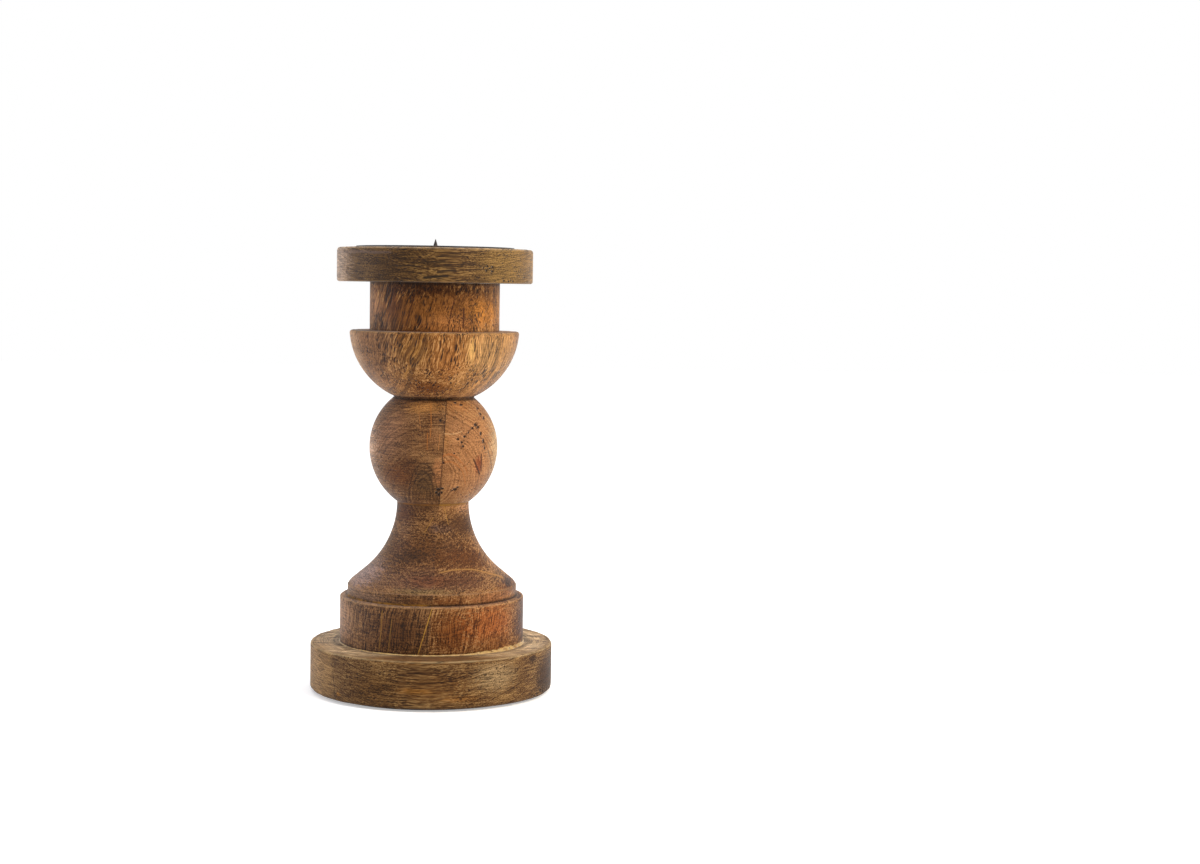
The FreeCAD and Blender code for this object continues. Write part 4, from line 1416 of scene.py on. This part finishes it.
COLUMN_WARM = Wood(
    name="mango lower column right board", dark="#43250E", middle="#8A5D34", light="#B58C5C",
    fibre=(-0.12, 1.0, 0.05), heart=(6.0, -109.0, 0.0), ring_width=1.0, ring_strength=0.4,
    band_width=0.9, band_strength=0.25, cloud_width=8.0, cloud_strength=0.3, fibre_strength=0.85,
    tool_strength=0.3, vessel_strength=0.65, vessel_spacing=1.2, vessel_length=9.0, wax=0.11,
    figures=(
        Figure((0.18, 0.0, 1.0), 0.6, 24.0, 1.45, (24.0, 47.5)),
        Figure((0.12, 0.0, 1.0), 0.7, 9.0, 0.7, (47.5, 53.5)),
        Figure((1.0, -0.3, 0.3), 0.45, 5.0, 1.1, (54.0, 92.0)),
    ),
    patches=COLUMN_PATCHES + (
        Patch((16.0, -14.0, 84.0), (26.0, 24.0, 10.0), "#3D2412", 0.9),
        Patch((20.0, -22.0, 68.0), (30.0, 28.0, 9.0), "#48260C", 0.8),
        Patch((10.0, -44.0, 36.0), (16.0, 20.0, 18.0), "#603411", 0.9),
        Patch((28.0, -34.0, 38.0), (24.0, 24.0, 16.0), "#7A4018", 0.85),
        Patch((30.0, -30.0, 28.0), (18.0, 22.0, 7.0), "#633A18", 0.75),
        Patch((50.0, -8.0, 36.0), (18.0, 30.0, 20.0), "#3F1B00", 1.0, 0.5),
        Patch((16.0, -24.0, 118.0), (26.0, 24.0, 30.0), "#9B6B45", 0.6, 0.5),
        Patch((5.0, -31.0, 128.0), (5.0, 8.0, 12.0), "#85592F", 0.6),
        Patch((21.9, -21.5, 114.6), (2.6, 6.0, 5.4), "#74381A", 0.8, 0.5),
        # Painted light: the ball's right end is lightened, as the light from the right would show it.
        Patch((36.0, -6.0, 122.0), (13.0, 28.0, 24.0), "#B69A72", 0.8),
        Patch((12.0, -22.0, 143.0), (12.0, 14.0, 4.0), "#8E5F36", 0.6),
        Patch((30.0, -28.0, 50.5), (26.0, 24.0, 4.0), "#835533", 0.75),
        Patch((8.0, -42.0, 50.0), (12.0, 10.0, 3.0), "#5E3414", 0.75),
    ),
    layers=(
        SEAM,
        Layer((7.5, 0.0, 98.0), (2.1, 0.0, 1.0), 0.75, "#A45C2A", 0.45,
              (-3.0, -40.0, 108.0), (17.0, -15.0, 123.0), 22.0, 0.8),
        Layer((7.5, 0.0, 98.0), (2.1, 0.0, 1.0), 0.65, "#A4602C", 0.5,
              (-3.0, -40.0, 104.0), (20.0, -15.0, 120.0), 18.5, 0.7),
        Layer((7.5, 0.0, 98.0), (2.1, 0.0, 1.0), 0.6, "#7A4E2A", 0.4,
              (-3.0, -40.0, 101.0), (20.0, -15.0, 118.0), 14.5, 0.5),
        Layer((8.5, 0.0, 98.0), (1.7, 0.0, 1.0), 0.6, "#6E4322", 0.5,
              (6.0, -40.0, 101.0), (28.0, -15.0, 128.0), 26.0, 0.7),
        Layer((21.0, -22.0, 113.1), (0.92, 0.0, 0.39), 0.55, "#2E1208", 0.85,
              (19.0, -40.0, 109.0), (23.4, -10.0, 117.6), wander=0.15),
        Layer((23.1, -21.0, 115.2), (1.0, 0.0, 0.02), 0.5, "#3A180A", 0.8,
              (21.6, -40.0, 110.4), (24.6, -10.0, 120.0), wander=0.2),
        Layer((22.2, -21.0, 115.2), (0.98, 0.0, 0.2), 0.3, "#3A180A", 0.6,
              (20.6, -40.0, 112.0), (23.6, -10.0, 118.5), wander=0.2),
        Layer((17.6, -24.0, 131.0), (0.73, 0.0, -0.69), 0.34, "#3A1E0E", 0.6,
              (14.4, -40.0, 127.6), (20.6, -10.0, 134.4), wander=0.25),
        Layer((8.0, 0.0, 136.0), (0.6, 0.0, 1.0), 0.4, "#CBA272", 0.5,
              (4.0, -40.0, 126.0), (14.0, -15.0, 134.0), 6.0, 0.4),
        Layer((12.0, 0.0, 20.0), (1.0, 0.0, 1.0), 0.42, "#A27640", 0.75,
              (2.5, -40.0, 54.0), (36.0, -6.0, 67.0), 44.0, 0.4),
        Layer((6.5, -14.0, 89.0), (0.97, 0.0, 0.25), 0.28, "#A87C3C", 0.55,
              (3.0, -30.0, 84.0), (11.0, -2.0, 94.0), wander=0.2),
    ),
    rims=COLUMN_RIMS + (Rim(18.2, 94.0, 0.9, "#A87830", 0.85, 0.5),),
    holes=(
        Hole((4.9, -31.0, 115.8), (0.65, 1.2, 0.65)), Hole((11.7, -28.9, 127.2), (0.75, 1.4, 0.7)),
        Hole((13.5, -28.3, 125.6), (0.6, 1.4, 0.6)), Hole((14.2, -28.2, 123.6), (0.55, 1.4, 0.55)),
        Hole((14.9, -27.1, 128.3), (0.65, 1.4, 0.6)), Hole((10.0, -30.0, 120.4), (0.45, 1.4, 0.45)),
        Hole((18.6, -23.4, 132.2), (0.45, 1.4, 0.6)), Hole((16.8, -25.4, 130.2), (0.35, 1.4, 0.5)),
        Hole((20.2, -21.0, 133.8), (0.8, 1.6, 0.8)), Hole((21.5, -20.3, 132.6), (0.5, 1.6, 0.7)),
        Hole((22.8, -20.0, 129.3), (0.55, 1.6, 1.0)), Hole((24.2, -20.0, 125.8), (0.45, 1.6, 1.1)),
        Hole((24.9, -19.6, 122.3), (0.4, 1.6, 0.9)), Hole((13.2, -18.6, 143.3), (0.9, 1.6, 0.5)),
        Hole((10.3, -18.9, 144.3), (0.7, 1.6, 0.4)), Hole((21.5, -12.6, 141.3), (0.8, 1.6, 0.5)),
        Hole((22.7, -13.8, 138.6), (0.6, 1.6, 0.8)), Hole((24.3, -13.5, 136.5), (0.5, 1.6, 0.8)),
        Hole((4.4, -25.8, 102.9), (0.8, 1.6, 0.6)), Hole((4.2, -24.4, 100.8), (0.45, 1.5, 0.9)),
        Hole((10.5, -23.7, 102.3), (1.1, 1.6, 0.8)), Hole((11.8, -23.5, 103.4), (0.7, 1.6, 0.5)),
        Hole((9.3, -23.6, 101.8), (0.5, 1.5, 0.35)),
    ),
)

BASE_WOOD = Wood(
    name="mango base board", dark="#2E1B0D", middle="#634527", light="#9A794C", fibre=(1.0, -0.06, 0.02),
    heart=(110.0, 12.0, 0.0), ring_width=0.7, ring_strength=0.5, fibre_width=0.34, fibre_length=8.0,
    fibre_strength=1.05, band_width=0.6, band_length=15.0, band_strength=0.4, cloud_strength=0.35,
    tool_mark=0.42, tool_strength=1.0, tool_face=1.0,
    sway=2.4, sway_span=24.0, vessel_spacing=0.9, vessel_length=16.0, vessel_share=0.22, dust=0.03, wax=0.1,
    patches=(
        # Painted light: the whole top face is lightened and greyed, as the light from above and its sheen
        # would show it.
        Patch((0.0, 0.0, 26.5), (90.0, 90.0, 4.0), "#DCBF98", 0.85, 0.4),
        # Painted sheen: the left end is lightened, as the cool light from the left would show it.
        Patch((-58.0, -22.0, 12.0), (20.0, 28.0, 24.0), "#947248", 0.85),
        Patch((-28.0, -52.0, 10.0), (28.0, 20.0, 14.0), "#54381A", 0.7),
        Patch((2.0, -59.0, 12.0), (24.0, 12.0, 12.0), "#583818", 0.6),
        Patch((-4.0, -59.0, 19.5), (14.0, 8.0, 2.4), "#38210E", 0.75),
        Patch((31.0, -51.0, 16.0), (16.0, 18.0, 10.0), "#907856", 0.75),
        Patch((49.0, -34.4, 21.0), (4.0, 5.0, 4.5), "#2A180B", 0.85),
        Patch((60.0, -20.0, 11.0), (16.0, 26.0, 15.0), "#2F1906", 0.95, 0.5),
        Patch((0.0, -53.0, 24.4), (46.0, 13.0, 2.6), "#553616", 0.95, 0.5),
        Patch((-44.4, -40.3, 5.0), (1.6, 1.6, 1.2), "#96652A", 0.85, 0.5),
        Patch((-8.0, -59.4, 10.0), (13.0, 4.0, 2.0), "#8E5F28", 0.6),
        Patch((16.0, -58.0, 6.0), (16.0, 4.0, 2.4), "#8A5C2A", 0.5),
    ),
    layers=(
        Layer((-46.5, -38.0, 9.0), (1.0, -0.2, 0.12), 0.28, "#1E1108", 0.7,
              (-50.0, -44.0, 2.0), (-43.0, -30.0, 16.0), wander=0.5),
    ),
    holes=(
        Hole((51.5, -30.7, 3.4), (0.7, 0.7, 0.6)), Hole((53.0, -28.0, 4.4), (0.6, 0.9, 0.5)),
        Hole((50.0, -33.1, 2.9), (0.5, 0.7, 0.4)), Hole((54.3, -25.4, 3.4), (0.5, 0.9, 0.5)),
    ),
    rims=(
        # The pale top arris is partly worn wood and partly a painted highlight; the dark bottom edge is
        # painted shade where it faces the floor.
        Rim(59.6, 24.1, 0.9, "#B8A078", 0.55), Rim(59.2, 2.0, 1.4, "#33200D", 0.5),
        # The first ring, dark round the foot, is painted shade with some grime.
        Rim(47.2, 24.4, 3.2, "#2E1C0C", 0.6, 0.4), Rim(58.6, 24.4, 1.8, "#6E532F", 0.4, 0.4),
    ),
)


@dataclass
class BaseDisc:
    """The base board: a flat disc with softened edges, and the felt below it."""

    radius: float = 60.0
    under: float = 1.2
    top: float = 24.4
    top_arris: float = 1.2
    under_arris: float = 1.6
    felt_radius: float = 54.0
    fine: float = 0.25
    segments: int = 384
    felt_segments: int = 256

    def build_board(self) -> bpy.types.Object:
        """Turns the board.

        Returns:
            The board.
        """
        outline = Outline().start(0.0, self.under)
        outline.line(self.radius - self.under_arris, self.under)
        outline.arc((self.radius - self.under_arris, self.under + self.under_arris),
                    self.radius, self.under + self.under_arris, wear=1.0, step=self.fine)
        outline.line(self.radius, self.top - self.top_arris)
        outline.arc((self.radius - self.top_arris, self.top - self.top_arris),
                    self.radius - self.top_arris, self.top, wear=1.0, step=self.fine)
        outline.line(0.0, self.top)
        board = revolve("base_board", outline, Hand(seed=0.7), self.segments)
        board.data.materials.append(BASE_WOOD.dress())
        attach(board, "root")
        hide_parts("base_disc")
        return board

    def build_felt(self) -> bpy.types.Object:
        """Cuts the felt.

        Returns:
            The felt.
        """
        outline = Outline().start(0.0, 0.0)
        outline.line(self.felt_radius, 0.0).line(self.felt_radius, self.under, wear=1.0)
        outline.line(0.0, self.under)
        felt = revolve("felt_pad", outline, Hand(swell=0.2, nibble=0.5, seed=2.1), self.felt_segments)
        felt.data.materials.append(Felt().dress())
        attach(felt, "root")
        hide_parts("base_felt")
        return felt


@dataclass
class LowerColumn:
    """Foot, bell and ball, turned from a blank of two boards glued side by side.

    The bead fields are the squeezed out glue's: its least width, what its lumps and its two wider
    stretches add, where those lie and how far they spread in degrees, how far it goes into the foot
    and the board, and its height beside its width.
    """

    foot: float = 24.4
    foot_radius: float = 45.6
    foot_height: float = 23.3
    foot_arris: float = 1.0
    lip_radius: float = 41.9
    band_height: float = 5.2
    lip_step: float = 0.3
    lip_round_inset: float = 5.3
    lip_round_drop: float = 2.4
    bell_height: float = 46.4
    throat_radius: float = 17.8
    throat_sweep: float = 43.5
    ball_radius: float = 31.7
    ball_rise: float = 27.2
    ball_crown: float = 24.6
    seat_radius: float = 20.6
    seat_arris: float = 0.6
    dowel_radius: float = 8.05
    dowel_depth: float = 26.0
    glue_offset: float = 3.0
    glue_tilt: float = 3.5
    fine: float = 0.2
    step: float = 1.1
    segments: int = 320
    bead_steps: int = 720
    bead_width: float = 0.20
    bead_lumps: float = 0.25
    bead_left: float = 0.25
    bead_right: float = 1.7
    bead_left_at: float = 262.0
    bead_left_spread: float = 38.0
    bead_right_at: float = 325.0
    bead_right_spread: float = 26.0
    bead_bury: float = 0.2
    bead_sink: float = 0.02
    bead_rise: float = 0.85

    def outline(self) -> Outline:
        """Draws the section, with the dowel's hole in its crown.

        Returns:
            The section.
        """
        foot_top = self.foot + self.foot_height
        band_top = foot_top + self.band_height
        shoulder = (self.lip_radius - self.lip_step, band_top + self.lip_step)
        throat = foot_top + self.bell_height
        equator = throat + self.ball_rise
        crown = equator + self.ball_crown
        lip = (shoulder[0] - self.lip_round_inset, shoulder[1] - self.lip_round_drop)
        sweep = (self.throat_radius + self.throat_sweep, throat)
        leave, join = self.tangent(lip, math.dist(shoulder, lip), sweep, self.throat_sweep)
        outline = Outline(step=self.step).start(0.0, self.foot)
        outline.line(self.foot_radius, self.foot)
        outline.line(self.foot_radius, foot_top - self.foot_arris)
        outline.arc((self.foot_radius - self.foot_arris, foot_top - self.foot_arris),
                    self.foot_radius - self.foot_arris, foot_top, wear=0.8, step=self.fine)
        outline.line(self.lip_radius, foot_top)
        outline.line(self.lip_radius, band_top)
        outline.line(*shoulder, wear=0.5)
        outline.arc(lip, *leave)
        outline.line(*join)
        outline.arc(sweep, self.throat_radius, throat)
        outline.arc(level_centre((self.throat_radius, throat), (self.ball_radius, equator), equator),
                    self.ball_radius, equator)
        seat = (self.seat_radius, crown - self.seat_arris)
        outline.arc(level_centre((self.ball_radius, equator), seat, equator), *seat)
        outline.line(self.seat_radius - self.seat_arris, crown, wear=0.6)
        outline.line(self.dowel_radius, crown)
        outline.line(self.dowel_radius, crown - self.dowel_depth)
        outline.line(0.0, crown - self.dowel_depth)
        return outline

    def tangent(self, first: Point, first_reach: float, last: Point,
                last_reach: float) -> tuple[Point, Point]:
        """Finds the line that touches two rounds from opposite sides.

        Args:
            first: the first round's centre.
            first_reach: its radius.
            last: the second round's centre.
            last_reach: its radius.

        Returns:
            Where the line leaves the first round and where it meets the second.
        """
        away = (last[0] - first[0], last[1] - first[1])
        turn = math.atan2(away[1], away[0]) - math.acos((first_reach + last_reach) / math.hypot(*away))
        normal = (math.cos(turn), math.sin(turn))
        return ((first[0] + first_reach * normal[0], first[1] + first_reach * normal[1]),
                (last[0] - last_reach * normal[0], last[1] - last_reach * normal[1]))

    def build_half(self, side: Side) -> bpy.types.Object:
        """Turns the whole form and keeps the part that lies in one board.

        Args:
            side: the board to keep.

        Returns:
            The half column.
        """
        name = f"column_board_{side.name.lower()}"
        half = revolve(name, self.outline(), Hand(seed=1.9), self.segments)
        throat = self.foot + self.foot_height + self.bell_height
        tilt = math.radians(self.glue_tilt)
        across = Vector((math.cos(tilt), 0.0, -math.sin(tilt)))
        build = bmesh.new()
        build.from_mesh(half.data)
        bmesh.ops.bisect_plane(build, geom=build.verts[:] + build.edges[:] + build.faces[:],
                               dist=CUT_REACH, plane_co=Vector((self.glue_offset, 0.0, throat)) * MM,
                               plane_no=across * side.value, clear_inner=True)
        open_edges = [edge for edge in build.edges if edge.is_boundary]
        bmesh.ops.edgeloop_fill(build, edges=open_edges)
        bmesh.ops.recalc_face_normals(build, faces=build.faces)
        build.to_mesh(half.data)
        build.free()
        shade(half.data)
        wood = COLUMN_DARK if side is Side.LEFT else COLUMN_WARM
        half.data.materials.append(wood.dress())
        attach(half, "root")
        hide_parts(f"lower_column_{side.name.lower()}")
        return half

    def build_glue(self) -> bpy.types.Object:
        """Runs the squeezed out glue round the foot, thicker towards the right.

        Returns:
            The bead.
        """
        angle = np.arange(self.bead_steps) / self.bead_steps * 2 * math.pi
        degrees = np.degrees(angle)
        # Two quick waves that don't keep step make lumps of uneven size.
        lumps = 0.5 + 0.5 * np.sin(23 * angle + 1.1) * np.sin(41 * angle + 0.4)
        left = np.exp(-((degrees - self.bead_left_at) / self.bead_left_spread) ** 2)
        right = np.exp(-((degrees - self.bead_right_at) / self.bead_right_spread) ** 2)
        reach = (self.bead_width + self.bead_lumps * lumps + self.bead_left * left
                 + self.bead_right * right * (0.55 + 0.45 * lumps))
        build = bmesh.new()
        rows = []
        for turn, size in zip(angle, reach):
            # Outwards and upwards: buried in the foot, up its wall, and down in a hollow curve to the board.
            section = ((-self.bead_bury, -self.bead_sink), (-self.bead_bury, self.bead_rise * size),
                       (self.bead_sink, self.bead_rise * size), (0.35 * size, 0.62 * size),
                       (0.75 * size, 0.25 * size), (size, -self.bead_sink))
            rows.append([build.verts.new(((self.foot_radius + out) * math.cos(turn) * MM,
                                          (self.foot_radius + out) * math.sin(turn) * MM,
                                          (self.foot + up) * MM)) for out, up in section])
        for number, row in enumerate(rows):
            after = rows[(number + 1) % self.bead_steps]
            for place in range(len(row)):
                following = (place + 1) % len(row)
                build.faces.new((row[place], row[following], after[following], after[place]))
        bmesh.ops.recalc_face_normals(build, faces=build.faces)
        bead = as_object("glue_bead", build)
        bead.data.materials.append(Glue().dress())
        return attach(bead, "root")


@dataclass
class UpperColumn:
    """Bowl and neck, turned from one block."""

    seat: float = 145.9
    seat_radius: float = 20.2
    seat_arris: float = 0.6
    bowl_height: float = 32.9
    bowl_curve: float = 37.8
    rim_radius: float = 41.8
    rim_arris: float = 1.2
    neck_radius: float = 32.0
    neck_height: float = 23.6
    dowel_radius: float = 8.05
    dowel_depth: float = 26.0
    fine: float = 0.2
    step: float = 1.1
    segments: int = 320

    def build(self) -> bpy.types.Object:
        """Turns the block.

        Returns:
            The block.
        """
        rim = self.seat + self.bowl_height
        top = rim + self.neck_height
        low = (self.seat_radius, self.seat + self.seat_arris)
        high = (self.rim_radius, rim - self.rim_arris)
        outline = Outline(step=self.step).start(0.0, self.seat + self.dowel_depth)
        outline.line(self.dowel_radius, self.seat + self.dowel_depth)
        outline.line(self.dowel_radius, self.seat)
        outline.line(self.seat_radius - self.seat_arris, self.seat)
        outline.line(*low, wear=0.6)
        outline.arc(bend_centre(low, high, self.bowl_curve), *high)
        outline.arc((self.rim_radius - self.rim_arris, rim - self.rim_arris),
                    self.rim_radius - self.rim_arris, rim, wear=0.9, step=self.fine)
        outline.line(self.neck_radius, rim)
        outline.line(self.neck_radius, top)
        outline.line(0.0, top)
        block = revolve("bowl_and_neck", outline, Hand(seed=3.3), self.segments)
        block.data.materials.append(BOWL_WOOD.dress())
        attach(block, "root")
        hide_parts("upper_column")
        return block


@dataclass
class TopDisc:
    """The top board with the recess for the pan and the nest for the spike's head."""

    under: float = 202.4
    top: float = 219.2
    radius: float = 48.2
    top_arris: float = 1.4
    under_arris: float = 1.1
    recess_radius: float = 39.3
    recess_floor: float = 210.7
    recess_arris: float = 0.4
    nest_radius: float = 5.25
    nest_floor: float = 209.3
    fine: float = 0.2
    segments: int = 384

    def build(self) -> bpy.types.Object:
        """Turns the board.

        Returns:
            The board.
        """
        outline = Outline().start(0.0, self.under)
        outline.line(self.radius - self.under_arris, self.under)
        outline.arc((self.radius - self.under_arris, self.under + self.under_arris),
                    self.radius, self.under + self.under_arris, wear=0.8, step=self.fine)
        outline.line(self.radius, self.top - self.top_arris)
        outline.arc((self.radius - self.top_arris, self.top - self.top_arris),
                    self.radius - self.top_arris, self.top, wear=1.0, step=self.fine)
        outline.line(self.recess_radius + self.recess_arris, self.top)
        outline.line(self.recess_radius, self.top - self.recess_arris, wear=0.3)
        outline.line(self.recess_radius, self.recess_floor)
        outline.line(self.nest_radius, self.recess_floor)
        outline.line(self.nest_radius, self.nest_floor)
        outline.line(0.0, self.nest_floor)
        board = revolve("top_board", outline, Hand(seed=5.2), self.segments)
        board.data.materials.append(TOP_WOOD.dress())
        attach(board, "root")
        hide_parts("top_disc")
        return board


@dataclass
class Ironwork:
    """Pan, spike and screws, and the dowel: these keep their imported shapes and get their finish."""

    def dress(self, nodes: dict[str, bpy.types.Object]) -> None:
        """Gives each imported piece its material.

        Args:
            nodes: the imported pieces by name.
        """
        finishes = {
            "candle_pan": Iron("blackened pan iron"),
            "pricket": Iron("spike iron", coat="#1C1210", rubbed="#4A2A1C", rust="#34180F", metallic=0.3,
                            roughness=0.55),
            "pan_screws": Iron("blackened screw steel", coat="#1C1C20", roughness=0.38),
            "base_screws": Steel("zinc plated screw steel"),
            "top_screws": Steel("zinc plated screw steel, top"),
            "column_dowel": Beech(),
        }
        for name, finish in finishes.items():
            material = finish.dress()
            for slot in nodes[name].material_slots:
                slot.material = material
            LOG.info("dressed %s", name)


def main() -> None:
    """Builds the studio, then every piece in order, and reports each one."""
    logging.basicConfig(level=logging.INFO, format="%(message)s")
    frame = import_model()
    studio = Studio()
    studio.place_camera()
    studio.lay_floor()
    studio.hang_lamps()
    studio.light_room()
    base = BaseDisc()
    lower = LowerColumn()
    made = [base.build_felt(), base.build_board(), lower.build_half(Side.LEFT), lower.build_half(Side.RIGHT),
            lower.build_glue(), UpperColumn().build(), TopDisc().build()]
    for piece in made:
        LOG.info("%s: %d faces", piece.name, len(piece.data.polygons))
    Ironwork().dress(frame["nodes"])


if __name__ == "__main__":
    main()
